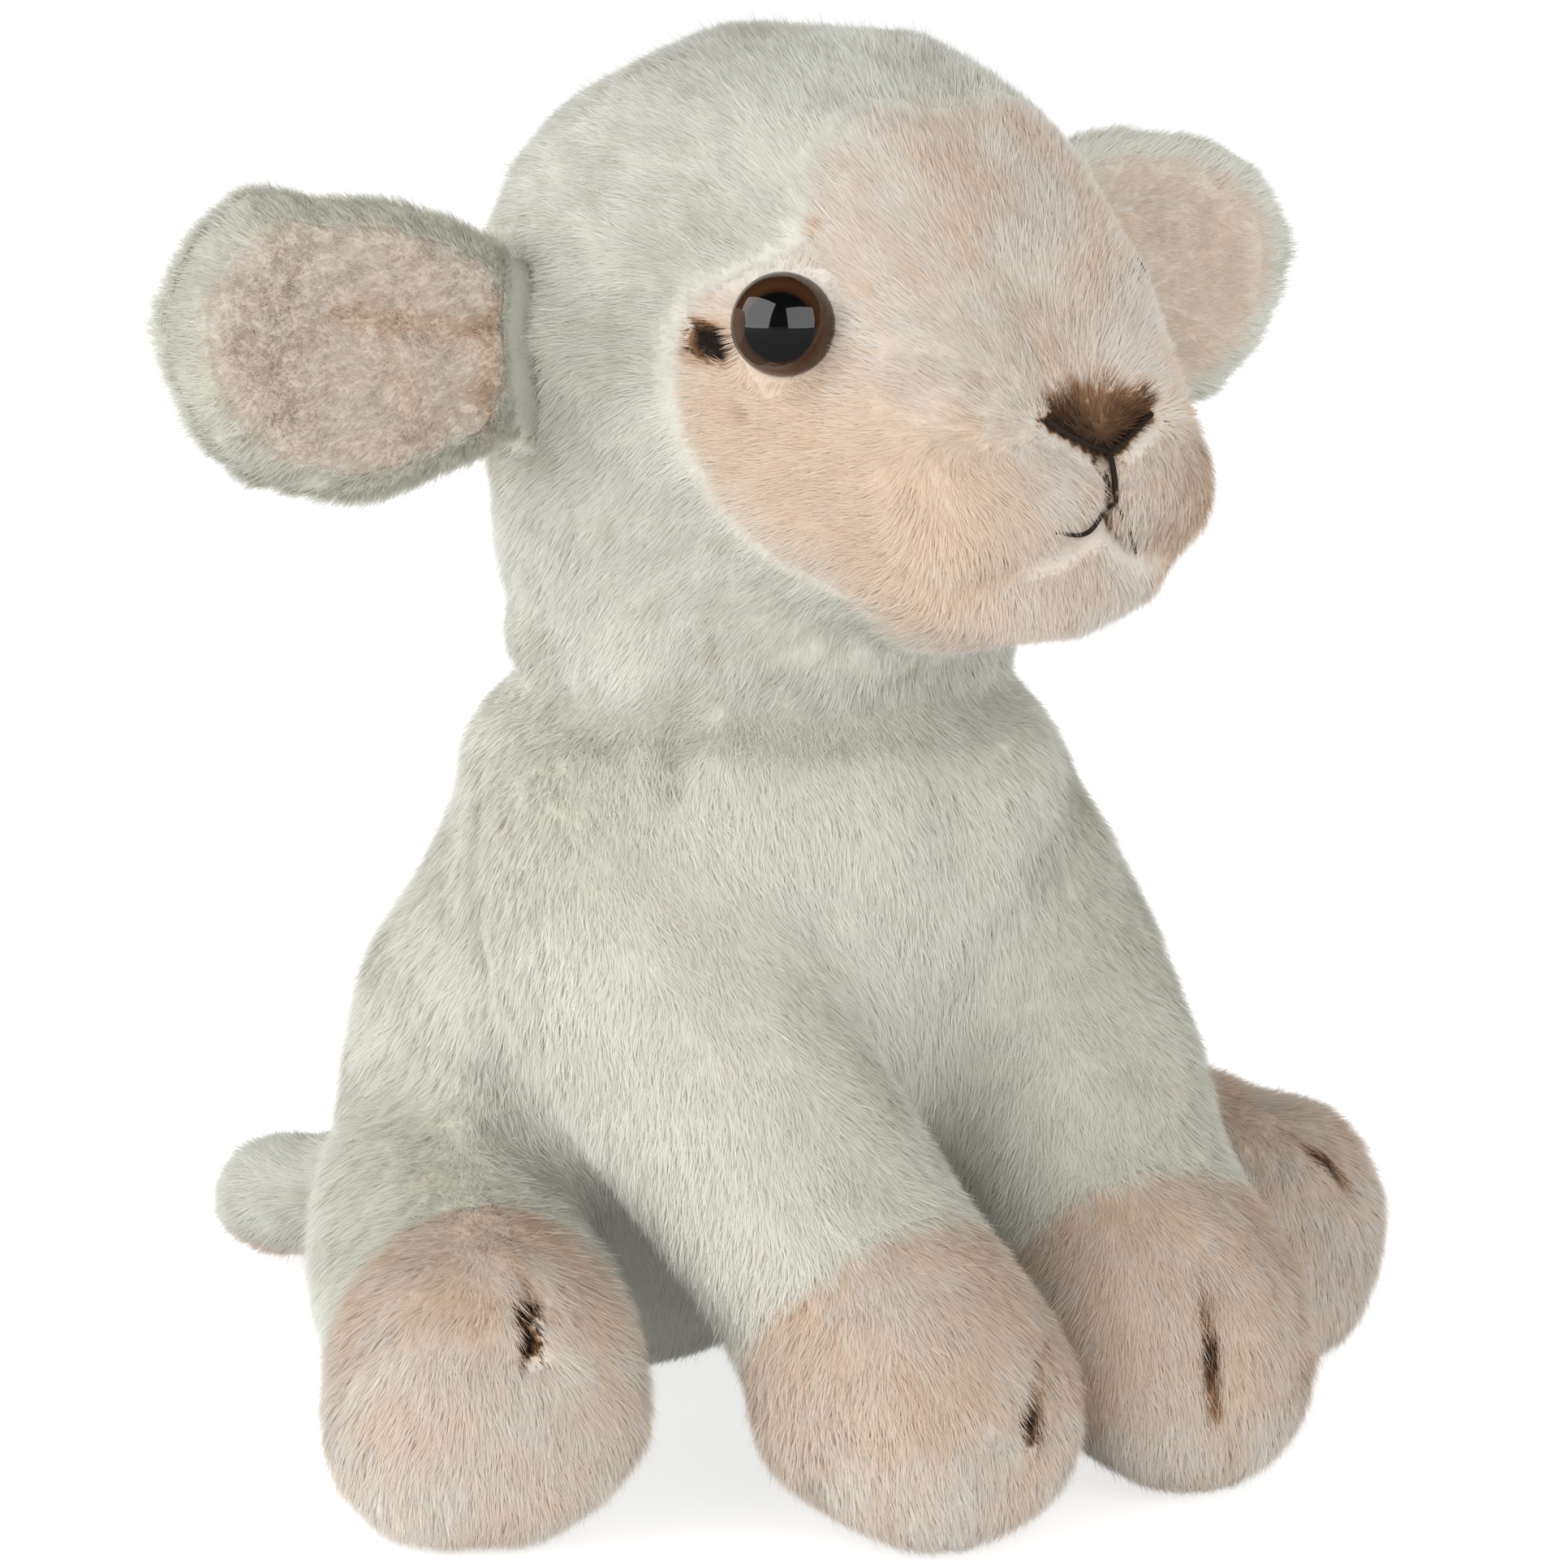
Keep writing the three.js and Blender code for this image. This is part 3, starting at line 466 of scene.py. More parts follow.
def comb_head(points):
    """Back from the muzzle's tip, and down over cheeks and neck."""
    away = unit(points - MUZZLE_TIP)
    low = ease(points[:, 1], -0.07, -0.02) * ease(points[:, 2], 0.175, 0.14)
    comb = away + DOWN * (0.35 * ease(points[:, 1], -0.055, -0.02) + 1.4 * low)[:, None]
    lip = ease(points[:, 1], -0.078, -0.092) * ease(points[:, 2], 0.161, 0.154)
    aside = np.clip((points[:, 0] - MUZZLE_TIP[0]) / 0.008, -1, 1)
    inwards = -aside * ease(points[:, 2], 0.139, 0.145)
    falls = DOWN + np.outer(0.55 * inwards, (1.0, 0, 0))
    return comb * (1 - lip)[:, None] + falls * lip[:, None]


def comb_line(start, end):
    line = unit(np.array(end) - np.array(start))

    def comb(points):
        return np.repeat(line[None, :], len(points), axis=0)
    return comb


def comb_leg(start, end, along, down, aside):
    """Along the leg, down, and away from the leg's middle line, in the given shares."""
    start, end = np.array(start), np.array(end)
    line = unit(end - start)

    def comb(points):
        offset = points - start
        out = offset - (offset @ line)[:, None] * line
        return line * along + DOWN * down + out * (aside / 0.024)
    return comb


def comb_ear(side):
    """Out from the root, and a little towards the rim on both sides."""
    root = np.array((side * 0.0365, -0.0095, 0.165))
    tip = np.array((side * 0.110, -0.022, 0.171))
    line = unit(tip - root)

    def comb(points):
        offset = points - root
        aside = offset - (offset @ line)[:, None] * line
        return line + aside * (0.55 / 0.026)
    return comb


# Shares along the leg, down, and away from its middle line
HIND_COMB = (0.12, 1.0, 0.5)
FRONT_COMB = (0.55, 0.7, 0.25)
COMBS = {
    "body": comb_body,
    "neck": comb_body,
    "head": comb_head,
    "ear_right": comb_ear(-1),
    "ear_left": comb_ear(1),
    "front_leg_right": comb_leg((-0.034, -0.0295, 0.082), (-0.029, -0.0895, 0.025), *FRONT_COMB),
    "front_leg_left": comb_leg((0.034, -0.0295, 0.082), (0.019, -0.0895, 0.025), *FRONT_COMB),
    "hind_leg_right": comb_leg((-0.043, 0.0045, 0.032), (-0.076, -0.0515, 0.023), *HIND_COMB),
    "hind_leg_left": comb_leg((0.043, 0.0045, 0.032), (0.076, -0.0515, 0.023), *HIND_COMB),
    "tail": comb_line((-0.001, 0.0435, 0.032), (0.004, 0.112, 0.012)),
}


# Seams, marks and lengths

def both_sides(*rows):
    """The given rows, each a path and its values, and the same on the lamb's other side."""
    return [row for path, *values in rows for row in ((path, *values), (mirrored(path), *values))]


# Sprayed marks, and the painted shade of the flank folds and of the ears' crease and root: path, half width
# and fade beyond it in millimetres, tone in the middle, strength
MARKS = {
    "head": [(NOSE_V, 0.7, 1.0, DARK, 1.0)] + both_sides(
        (CHEEK, 7, 14, 0.55, 1.0), (FACE_SEAM[8:], 0.2, 2.2, 0.60, 0.35),
        (EYE_CORNER, 2.2, 2.2, 0.72, 0.9), (EYE_CORNER, 1.9, 1.0, 0.985, 1.0),
        (EYE_INNER, 0.3, 1.6, TAN, 0.5), (EYE_UPPER, 0.4, 1.6, TAN, 0.5),
    ) + [
        (PHILTRUM, 1.1, 1.3, 0.96, 1.0), (MOUTH_RIGHT, 0.6, 1.6, 0.88, 0.95),
        (MOUTH_LEFT, 0.6, 1.4, BROWN, 0.9), (MOUTH_FADE, 0.4, 1.8, 0.70, 0.8),
    ] + [(dot_mark, 0.5, 1.8, 0.66, 0.55) for dot_mark in MOUTH_DOTS],
    # The flank folds are darkened as painted shade
    "body": both_sides((FLANK_FOLD, 2.0, 7.0, FOLD_SHADE, 0.8)),
}
for leg, seam in FOOT_SEAMS.items():
    MARKS[leg] = [(seam, 0.1, 1.0, 0.60, 0.3)] + FOOT_MARKS[leg]
for side, turned in (("right", list), ("left", mirrored)):
    # The ears' crease and root are darkened as painted shade
    MARKS[f"ear_{side}"] = [
        (turned(EAR_CREASE[1:]), 0.2, 3.0, 0.66, 0.55), (turned(EAR_BASE), 0.2, 2.2, 0.66, 0.55)]
    # The hind legs take the painted shade of the flank fold as well
    MARKS[f"hind_leg_{side}"].append((turned(FLANK_FOLD), 2.0, 6.0, FOLD_SHADE, 0.7))

# Grooves pressed into the stuffed forms, and swellings, which have a depth below zero: path, radius
# and depth in millimetres
GROOVES = {
    "head": both_sides(
        (FACE_SEAM, 4, 0.9), (EYE_CORNER, 3.5, 1.2), (EYE_INNER, 3, 0.8),
        (millimetres((-13, -92, 153), (-18, -86, 148)), 13, -2.6),
        (millimetres((-22, -80, 152), (-26, -74, 158)), 16, -1.0),
    ) + [
        (millimetres((-22, -53, 200)), 26, -1.6),
        (millimetres((19, -45, 205), (17, -54, 202)), 20, -2.8),
        (millimetres((-25, 6, 192), (-16.5, 1.4, 205), (-9, -13, 211)), 24, 2.2),
        (millimetres((-31, 2, 146), (-33, -2, 136)), 17, -2.6),
        (NOSE_V, 2.4, 1.2), (PHILTRUM, 3.2, 3.0),
        (MOUTH_RIGHT, 4.0, 3.4), (MOUTH_LEFT, 4.0, 3.2), (MOUTH_FADE, 4.5, 2.6),
        (millimetres((-12, -97, 141.4), (-20, -92, 139)), 5, 1.6),
        (millimetres((7, -97.7, 141), (19, -92, 140)), 5, 2.0),
        (millimetres((-7, -88, 134), (0, -88, 134)), 9, -1.8),
        (millimetres((0, -94, 172), (0, -80, 184)), 12, -0.8),
        (millimetres((8, -20, 212), (14, -40, 208)), 24, -1.2),
    ],
    "neck": [],
    "body": both_sides(
        (millimetres((-43, 21, 66), (-45, 22, 46)), 26, -3.6), (millimetres((-36, 16, 86)), 20, 0.8),
    ) + [(SIDE_SEAM, 3.0, 0.7), (millimetres((-34, -5, 120), (-35, -3, 108)), 14, -3.6)],
    "ear_right": [(EAR_CREASE, 4.5, 1.6)],
    "ear_left": [(mirrored(EAR_CREASE), 4.5, 1.6)],
    "hind_leg_right": [],
    "hind_leg_left": [(millimetres((79, -55, 44), (84, -63, 39)), 14, 2.0)],
    "front_leg_right": [],
    "front_leg_left": [
        (millimetres((48, -58, 73), (44, -70, 60)), 16, -1.0),
        (millimetres((52, -38, 90), (42, -56, 85)), 13, 1.6)],
}
for leg, seam in FOOT_SEAMS.items():
    GROOVES[leg].append((seam, 2.6, 0.5))
    GROOVES[leg] += [(path, 4.0, 1.3) for path, _, _, tone, _ in FOOT_MARKS[leg] if tone > TAN]
for owner in ("head", "neck", "body"):
    GROOVES[owner].append((NECK_FOLD, 6, 2.2))

# Parts of the forms that are pulled sideways: path, radius and movement in millimetres
PULLS = {
    "ear_right": [(millimetres((-106, -20, 176), (-102, -20, 184), (-92, -18, 189)), 20, (-2.0, 0, 1.6)),
                  (millimetres((-104, -19, 157), (-96, -20, 150)), 20, (0.8, 0, 1.8)),
                  (millimetres((-62, -14, 187), (-53, -13, 185)), 12, (0, 0, 1.0)),
                  (millimetres((-39, -12, 181), (-38, -12, 151)), 9, (1.5, 1.5, 0))],
    "ear_left": [(millimetres((73, -16, 191)), 20, (0, 0, 2.8)),
                 (millimetres((109, -23, 172), (104, -23, 158), (94, -20, 149)), 22, (-1.0, 0, 1.4)),
                 (millimetres((39, -12, 181), (38, -12, 151)), 9, (-1.5, 1.5, 0))],
    "hind_leg_right": [(millimetres((-93, -39, 12), (-90, -45, 6)), 20, (-1.8, 1.0, -2.4)),
                       (millimetres((-65, -70, 17)), 16, (1.2, -1.0, 0))],
    "hind_leg_left": [(millimetres((92, -62, 22), (88, -62, 8)), 20, (1.4, -1.1, 0))],
    "front_leg_right": [(millimetres((-51, -84, 15)), 18, (-2.0, 1.6, 0))],
    "tail": [(millimetres((-8, 98, 10)), 34, (0, 0, 3.2))],
}

# Where the pile is clipped short: path, radius in millimetres, share of its length that stays
NAPE_CLIP = (NAPE_SIDE, 9, 0.7)
CLIPPED = {
    "head": both_sides((FACE_SEAM, 2.5, 0.7), (EYE_CORNER, 3.6, 0.36)) + [
        (NOSE_V, 1.6, 0.5), (PHILTRUM, 2.0, 0.4), (MOUTH_RIGHT, 2.0, 0.45), (MOUTH_LEFT, 2.0, 0.45),
        NAPE_CLIP],
    "neck": [NAPE_CLIP],
    "body": [NAPE_CLIP],
}
for leg, seam in FOOT_SEAMS.items():
    toes = [path for path, _, _, tone, _ in FOOT_MARKS[leg] if tone > DARK]
    CLIPPED[leg] = [(seam, 1.8, 0.9)] + [(toe, 2.4, 0.5) for toe in toes]

laid_paths = {}


def laid_on(skin, body, path):
    """A path laid on the skin of a body's form, from points about a millimetre apart."""
    key = body, tuple(path)
    if key not in laid_paths:
        path = np.asarray(path, float)
        places = [path[0]]
        for start, end in zip(path[:-1], path[1:]):
            count = max(1, int(np.linalg.norm(end - start) / (1.5 * MM)))
            places += [start + (end - start) * (step + 1) / count for step in range(count)]
        laid_paths[key] = np.array([skin.find_nearest(place)[0] for place in places])
    return laid_paths[key]


def from_axis(eye, points):
    """The way from an eye's axis straight out to each point."""
    away = points - eye["place"]
    return away - np.outer(away @ eye["outwards"], eye["outwards"])


def press_eyes(points, pressed):
    """The head's form pressed back where it would stand before an eye's flat back or bulge beside it."""
    inner, outer = EYE_PRESSED
    for eye in eye_seats():
        height = (pressed - eye["place"]) @ eye["outwards"]
        aside = np.linalg.norm(from_axis(eye, points), axis=1)
        limit = (0.2 + 3.6 * ease(aside, inner, outer)) * MM
        beside = (aside < outer) & (np.abs(height) < 12 * MM)
        over = np.where(beside, np.maximum(height - limit, 0), 0)
        pressed = pressed - np.outer(over, eye["outwards"])
    return pressed


def press_grooves(body, owners, skin, points, normals):
    """The points of a form, moved in along grooves and out where the stuffing pushes, with a soft swell."""
    sunk = np.zeros(len(points))
    raised = np.zeros(len(points))
    for path, radius, depth in (row for owner in owners for row in GROOVES.get(owner, [])):
        gap = path_distance(points, laid_on(skin, body, path), radius * MM)
        near = ease(gap, radius * MM, 0) * depth * MM
        if depth > 0:
            sunk = np.maximum(sunk, near)
        else:
            raised = np.maximum(raised, -near)
    swell = 0.5 * MM * waves(points, 26 * MM, bpy.context.scene.lamb_pile.seed)
    pressed = points - normals * (sunk - raised - swell)[:, None]
    for path, radius, way in (row for owner in owners for row in PULLS.get(owner, [])):
        gap = path_distance(points, laid_on(skin, body, path), radius * MM)
        pressed = pressed + np.outer(ease(gap, radius * MM, 0), np.array(way) * MM)
    return press_eyes(points, pressed) if "head" in owners else pressed


def nose_spray(points):
    """How strongly each point of the head is sprayed as nose, a triangle that stands on the tip of the V,
    and its tone, which pales upwards."""
    left, low, right = (np.array(place)[[0, 2]] for place in NOSE_V)
    top, level = np.array((-2.4, 163.2)) * MM, 163.4 * MM
    side_start, side_end = 9.6 * MM, 11.4 * MM
    furthest_back = -0.08
    flat = points[:, [0, 2]]

    def above(start, end):
        step = end - start
        across = (flat[:, 1] - start[1]) * step[0] - (flat[:, 0] - start[0]) * step[1]
        return across / np.linalg.norm(step)
    edge = np.minimum(above(left, low), above(low, right))
    ragged = 0.7 * MM * waves(points, 4 * MM, 41)
    upper = np.minimum(above(top, left), level - flat[:, 1]) + ragged
    share = ease(edge, -0.8 * MM, 0.3 * MM) * ease(upper, -1.2 * MM, 1.4 * MM)
    share = share * ease(flat[:, 0], side_end, side_start) * (points[:, 1] < furthest_back)
    return share, 0.90 - 0.19 * ease(edge + ragged, 0.3 * MM, 5.5 * MM)


# Pink panels pale towards the edge of the panel beside them, over a width in millimetres
PALE_EDGES = {"ear_right": ("ear_right_back", 5), "ear_left": ("ear_left_back", 5), "head": ("head_hood", 6)}


def tone_at(body, skin, points, base, spread=0.0, draws=None):
    """The tone of the plush at each point, from its panel's own, which holds painted light and shade on the
    cream panels, and the marks laid over it: sprayed ones and the painted shade of folds and creases.
    """
    base = np.full(len(points), 1.0) * base
    is_pink = base > CREAM_LIMIT
    tone = base + 0.035 * waves(points, 22 * MM, 11) + 0.02 * waves(points, 7 * MM, 12)
    if body in SOLES:
        place, direction = SOLES[body]
        beyond = (points - np.array(place)) @ unit(np.array(direction))
        tone = tone - is_pink * SOLE_PALER * ease(beyond, -2.0 * MM, 2.0 * MM)
    if draws is not None:
        tone = tone + draws.normal(scale=spread, size=len(points))
    lowest, highest = (np.where(is_pink, pink, cream) for cream, pink in zip(CREAM_TONES, PINK_TONES))
    tone = np.clip(tone, lowest, highest)
    if body in PALE_EDGES:
        neighbour, depth = PALE_EDGES[body]
        tree = cad_tree([neighbour])
        rim = np.array([tree.find_nearest(point)[3] for point in points])
        strength = 0.8 if draws is None else draws.uniform(0.5, 1.1, len(points))
        tone = tone + (PALE_RIM - tone) * (ease(rim, depth * MM, 1 * MM) * is_pink) * strength
    layers = [nose_spray(points)] if body == "head" else []
    for path, half, fade, target, strength in MARKS.get(body, []):
        gap = path_distance(points, laid_on(skin, body, path), (half + fade) * MM)
        layers.append((strength * ease(gap, (half + fade) * MM, half * MM), target))
    for share, target in layers:
        if draws is not None:
            share = np.clip(share + 0.7 * share * (1 - share) * draws.normal(size=len(points)), 0, 1)
        goal = target if np.max(target) < CREAM_LIMIT else np.maximum(target, tone)
        tone = tone + (goal - tone) * share
    return tone


# Materials

def material_of(name, build):
    """The material of that name, built the first time it is asked for."""
    material = bpy.data.materials.get(name)
    if material is None:
        material = bpy.data.materials.new(name)
        material.use_nodes = True
        tree = material.node_tree
        build(tree.nodes, tree.links, tree.nodes["Principled BSDF"])
    return material


def add_node(nodes, kind, values=None, **settings):
    """A shader node with its settings, and values for the inputs that nothing is linked to."""
    node = nodes.new(f"ShaderNode{kind}")
    for name, setting in settings.items():
        setattr(node, name, setting)
    set_inputs(node, values or {})
    return node


def set_inputs(node, values):
    for name, value in values.items():
        node.inputs[name].default_value = value


def join(links, *pairs):
    for output, socket in pairs:
        links.new(output, socket)


def set_ramp(node, stops):
    ramp = node.color_ramp
    while len(ramp.elements) > 1:
        ramp.elements.remove(ramp.elements[0])
    ramp.elements[0].position = stops[0][0]
    ramp.elements[0].color = (*stops[0][1], 1)
    for position, colour in stops[1:]:
        ramp.elements.new(position).color = (*colour, 1)


def shade(colour, factor):
    return tuple(min(1.0, channel * factor) for channel in colour)


def plush_colour_group():
    """Tone and place along the strand in, colour out."""
    name = "Plush colour"
    if name in bpy.data.node_groups:
        return bpy.data.node_groups[name]
    colours = bpy.context.scene.lamb_colours
    group = bpy.data.node_groups.new(name, "ShaderNodeTree")
    tone = group.interface.new_socket("Tone", in_out="INPUT", socket_type="NodeSocketFloat")
    along = group.interface.new_socket("Along", in_out="INPUT", socket_type="NodeSocketFloat")
    group.interface.new_socket("Color", in_out="OUTPUT", socket_type="NodeSocketColor")
    tone.default_value = CREAM
    along.default_value = 0.5
    nodes, links = group.nodes, group.links
    come = nodes.new("NodeGroupInput")
    go = nodes.new("NodeGroupOutput")
    tips, roots = add_node(nodes, "ValToRGB"), add_node(nodes, "ValToRGB")
    pinks = [(PALE_PINK, colours.pale_pink), (PINK, colours.pink), (PEACH, colours.peach)]
    sprayed = [
        (TAN, colours.tan), (BROWN, colours.brown), (DARK, colours.dark), (1.0, shade(colours.dark, 0.5))]
    # Below plain cream the ramps hold the painted fold shade and a shaded cream, above it a lit cream, for
    # painted light and shade on the cream panels
    set_ramp(tips, [
        (0, colours.fold_shade), (SHADED_CREAM, shade(colours.cream_tip, 0.84)), (CREAM, colours.cream_tip),
        (LIT_CREAM, shade(colours.cream_tip, 1.09)), *pinks, *sprayed])
    set_ramp(roots, [
        (0, shade(colours.fold_shade, 0.85)), (SHADED_CREAM, shade(colours.cream_root, 0.90)),
        (CREAM, colours.cream_root), (LIT_CREAM, shade(colours.cream_root, 1.09)),
        *((place, shade(colour, 0.94)) for place, colour in pinks),
        *((place, shade(colour, 0.65)) for place, colour in sprayed)])
    grow = add_node(
        nodes, "MapRange", {"From Min": 0.1, "From Max": 0.85}, interpolation_type="SMOOTHSTEP")
    mix = add_node(nodes, "Mix", data_type="RGBA")
    join(links,
         (come.outputs["Tone"], tips.inputs["Fac"]), (come.outputs["Tone"], roots.inputs["Fac"]),
         (come.outputs["Along"], grow.inputs["Value"]), (grow.outputs["Result"], mix.inputs["Factor"]),
         (roots.outputs["Color"], mix.inputs["A"]), (tips.outputs["Color"], mix.inputs["B"]),
         (mix.outputs["Result"], go.inputs["Color"]))
    return group


def finish_plush(nodes, links, shader):
    """Gives a shader the plush's finish and colour, and returns the node that makes the colour."""
    set_inputs(shader, {
        "Roughness": 0.72, "Specular IOR Level": 0.22, "Sheen Weight": 0.25, "Sheen Roughness": 0.45})
    colour = add_node(nodes, "Group", node_tree=plush_colour_group())
    links.new(colour.outputs["Color"], shader.inputs["Base Color"])
    return colour


def plush_pile(nodes, links, shader):
    """The strands, whose UV map holds the tone across and the place along the strand upwards."""
    place = add_node(nodes, "UVMap", uv_map="OFBake")
    split = add_node(nodes, "SeparateXYZ")
    colour = finish_plush(nodes, links, shader)
    join(links,
         (place.outputs["UV"], split.inputs["Vector"]),
         (split.outputs["X"], colour.inputs["Tone"]), (split.outputs["Y"], colour.inputs["Along"]))


def plush_ground(nodes, links, shader):
    """The knitted ground of the plush, which shows between the strands."""
    tone = add_node(nodes, "Attribute", attribute_name="tone")
    place = add_node(nodes, "TexCoord")
    knit = add_node(nodes, "TexNoise", {"Scale": 1400, "Detail": 3})
    level = add_node(nodes, "MapRange", {"To Min": 0.15, "To Max": 0.6})
    bump = add_node(nodes, "Bump", {"Strength": 0.5, "Distance": 0.0004})
    colour = finish_plush(nodes, links, shader)
    join(links,
         (tone.outputs["Fac"], colour.inputs["Tone"]), (place.outputs["Object"], knit.inputs["Vector"]),
         (knit.outputs["Fac"], level.inputs["Value"]), (level.outputs["Result"], colour.inputs["Along"]),
         (knit.outputs["Fac"], bump.inputs["Height"]), (bump.outputs["Normal"], shader.inputs["Normal"]))


# Pile

def blade():
    """One strand, a thin pointed triangle: how far across and along each corner lies, and its face."""
    bm = bmesh.new()
    bmesh.ops.create_circle(bm, cap_ends=True, segments=3, radius=1)
    bm.verts.index_update()
    shape = np.array([vert.co[:] for vert in bm.verts])
    faces = np.array([[vert.index for vert in face.verts] for face in bm.faces])
    bm.free()
    along = (shape[:, 1] - shape[:, 1].min()) / np.ptp(shape[:, 1])
    return shape[:, 0] / np.abs(shape[:, 0]).max(), along, faces


def draw_roots(draws, form, weights, density):
    """Random places on a form: where they are, the skin's normal there, where they were before the
    grooves were pressed, and their faces."""
    points, faces = form["points"], form["faces"]
    a, b, c = (points[faces[:, corner]] for corner in range(3))
    areas = 0.5 * np.linalg.norm(np.cross(b - a, c - a), axis=1) * weights
    count = int(areas.sum() * density)
    if count == 0:
        raise RuntimeError("no place for the pile")
    chosen = np.searchsorted(np.cumsum(areas), draws.uniform(0, areas.sum(), size=count))
    chosen = np.minimum(chosen, len(faces) - 1)
    first = np.sqrt(draws.uniform(size=(count, 1)))
    second = draws.uniform(size=(count, 1))
    shares = (1 - first, first * (1 - second), first * second)
    corners = faces[chosen]

    def mixed(values):
        return sum(share * values[corners[:, i]] for i, share in enumerate(shares))
    return mixed(points), unit(mixed(form["normals"])), mixed(form["ground"]), chosen


def turned_about(vectors, axes, angles):
    """Vectors turned about axes at right angles to them."""
    angles = angles[:, None]
    return vectors * np.cos(angles) + np.cross(axes, vectors) * np.sin(angles)


def gather_in_tufts(roots, tips, size, pull):
    """How far each tip moves towards the mean tip of its tuft, each strand's tuft and their number."""
    bent = roots + size * 0.5 * np.stack([waves(roots, 2.3 * size, seed) for seed in (31, 32, 33)], axis=1)
    cell = np.floor(bent / size).astype(np.int64) + 4096
    _, tuft = np.unique(cell @ np.array((1, 8192, 8192 ** 2)), return_inverse=True)
    count = tuft.max() + 1
    sizes = np.bincount(tuft, minlength=count)
    means = np.stack(
        [np.bincount(tuft, weights=tips[:, axis], minlength=count) / sizes for axis in range(3)], axis=1)
    return (means[tuft] - tips) * pull, tuft, count


def part_at_eyes(comb, length, ground, normals):
    """The pile combed away from the eyes, shorter beside them, and none under them."""
    inner, outer = EYE_COMBED
    for eye in eye_seats():
        out = from_axis(eye, ground)
        gap = np.linalg.norm(out, axis=1)
        gap[np.linalg.norm(ground - eye["place"], axis=1) > EYE_REACH] = EYE_REACH
        near = ease(gap, outer, inner)
        comb = along_skin(comb * (1 - near)[:, None] + unit(out) * near[:, None], normals)
        length = length * (1 - 0.35 * near) * (gap > EYE_BARE)
    return comb, length


def strand_lengths(draws, roots, ground, full, body, skin):
    """The strands' lengths, uneven from place to place and shorter where the pile is clipped."""
    length = full * (0.8 + 0.35 * draws.uniform(size=len(roots))) * (1 + 0.08 * waves(roots, 9 * MM, 24))
    for path, radius, share in CLIPPED.get(body, []):
        gap = path_distance(ground, laid_on(skin, body, path), radius * MM)
        length *= 1 - (1 - share) * ease(gap, radius * MM, radius * 0.4 * MM)
    return length


def strand_ways(draws, roots, ground, normals, body):
    """The way that each strand is combed along the skin, swaying from place to place."""
    comb = along_skin(COMBS[body](ground), normals)
    sway = 0.16 * waves(roots, 17 * MM, 21) + 0.11 * waves(roots, 6 * MM, 22)
    return turned_about(comb, normals, sway + draws.normal(scale=0.22, size=len(roots)))


def strand_angles(draws, roots, body):
    """Each strand's angle to the skin, and whether it belongs to the short and steeper underfur."""
    pile = bpy.context.scene.lamb_pile
    count = len(roots)
    under = draws.uniform(size=count) < pile.under_share
    stray = draws.uniform(size=count) < STRAY_SHARE
    angle = pile.lean + 0.04 * waves(roots, 5 * MM, 23) + draws.normal(scale=0.09, size=count)
    steeper = 0.1 if body.startswith("ear") else 0.0
    return np.clip(angle + 0.38 * under + 0.45 * stray + steeper, 0.08, 1.3), under


def grow_pile(name, form, panels, body, lengths):
    """Strands of pile on the panels of a stuffed form, each a thin blade with its own lean and tone."""
    pile = bpy.context.scene.lamb_pile
    draws = np.random.RandomState(seed_of(name))
    quick = 1.0
    density = pile.density / MM ** 2 * quick
    shown = np.isin(form["panel"], [form["names"].index(panel) for panel in panels])
    weights = np.where(form["covered"], 0.0, 1.0) * shown
    roots, normals, ground, chosen = draw_roots(draws, form, weights, density)
    count = len(roots)
    panel = form["panel"][chosen]
    base = np.array([PARTS[body][owner] for owner in form["names"]])[panel]
    full = np.array([lengths.get(owner, 0) for owner in form["names"]])[panel]
    length = strand_lengths(draws, roots, ground, full, body, form["skin"])
    comb = strand_ways(draws, roots, ground, normals, body)
    comb, length = part_at_eyes(comb, length, ground, normals)
    angle, under = strand_angles(draws, roots, body)
    length *= 1 - 0.4 * under
    starts = roots - normals * ROOT_DEPTH
    reach = (comb * np.cos(angle)[:, None] + normals * np.sin(angle)[:, None]) * length[:, None]
    moves, tuft, tufts = gather_in_tufts(roots, roots + reach, pile.clump_size, pile.clump_pull)
    shift = draws.normal(scale=0.035, size=(tufts, 3))[tuft] * length[:, None]
    reach = reach + moves + shift - normals * dot(shift, normals)
    low = starts[:, 2] + reach[:, 2] < PILE_LIFT
    reach[low, 2] = PILE_LIFT - starts[low, 2]
    heading = unit(reach)
    side = along_skin(np.cross(normals, comb), heading)
    side = turned_about(side, heading, np.clip(draws.normal(scale=0.25, size=count), -0.9, 0.9))
    across, along, faces = blade()
    width = pile.width / math.sqrt(quick) * (0.8 + 0.4 * draws.uniform(size=count)) / 2
    points = starts[:, None, :] + reach[:, None, :] * along[None, :, None]
    points = points + side[:, None, :] * across[None, :, None] * width[:, None, None]
    tone = tone_at(body, form["skin"], ground, base, 0.03, draws)
    tone = tone + 0.02 * draws.normal(size=tufts)[tuft] * (tone < 0.6)
    tone = np.clip(tone, 0.004, 0.985)
    uv_u = tone[:, None] + across[None, :] * 0.0006
    uv_v = np.repeat((0.02 + 0.96 * along)[None, :], count, axis=0)
    # Every blade's front looks outwards
    corners = faces[None, :, :] + (np.arange(count) * len(across))[:, None, None]
    first, second, third = (points[:, corner] for corner in faces[0])
    backwards = (np.cross(second - first, third - first) * normals).sum(axis=1) < 0
    corners[backwards] = corners[backwards][:, :, ::-1]
    kept = length > SHORTEST
    return strands_object(
        name, points.reshape(-1, 3), corners[kept].reshape(-1, 3), uv_u.ravel(), uv_v.ravel(), body)


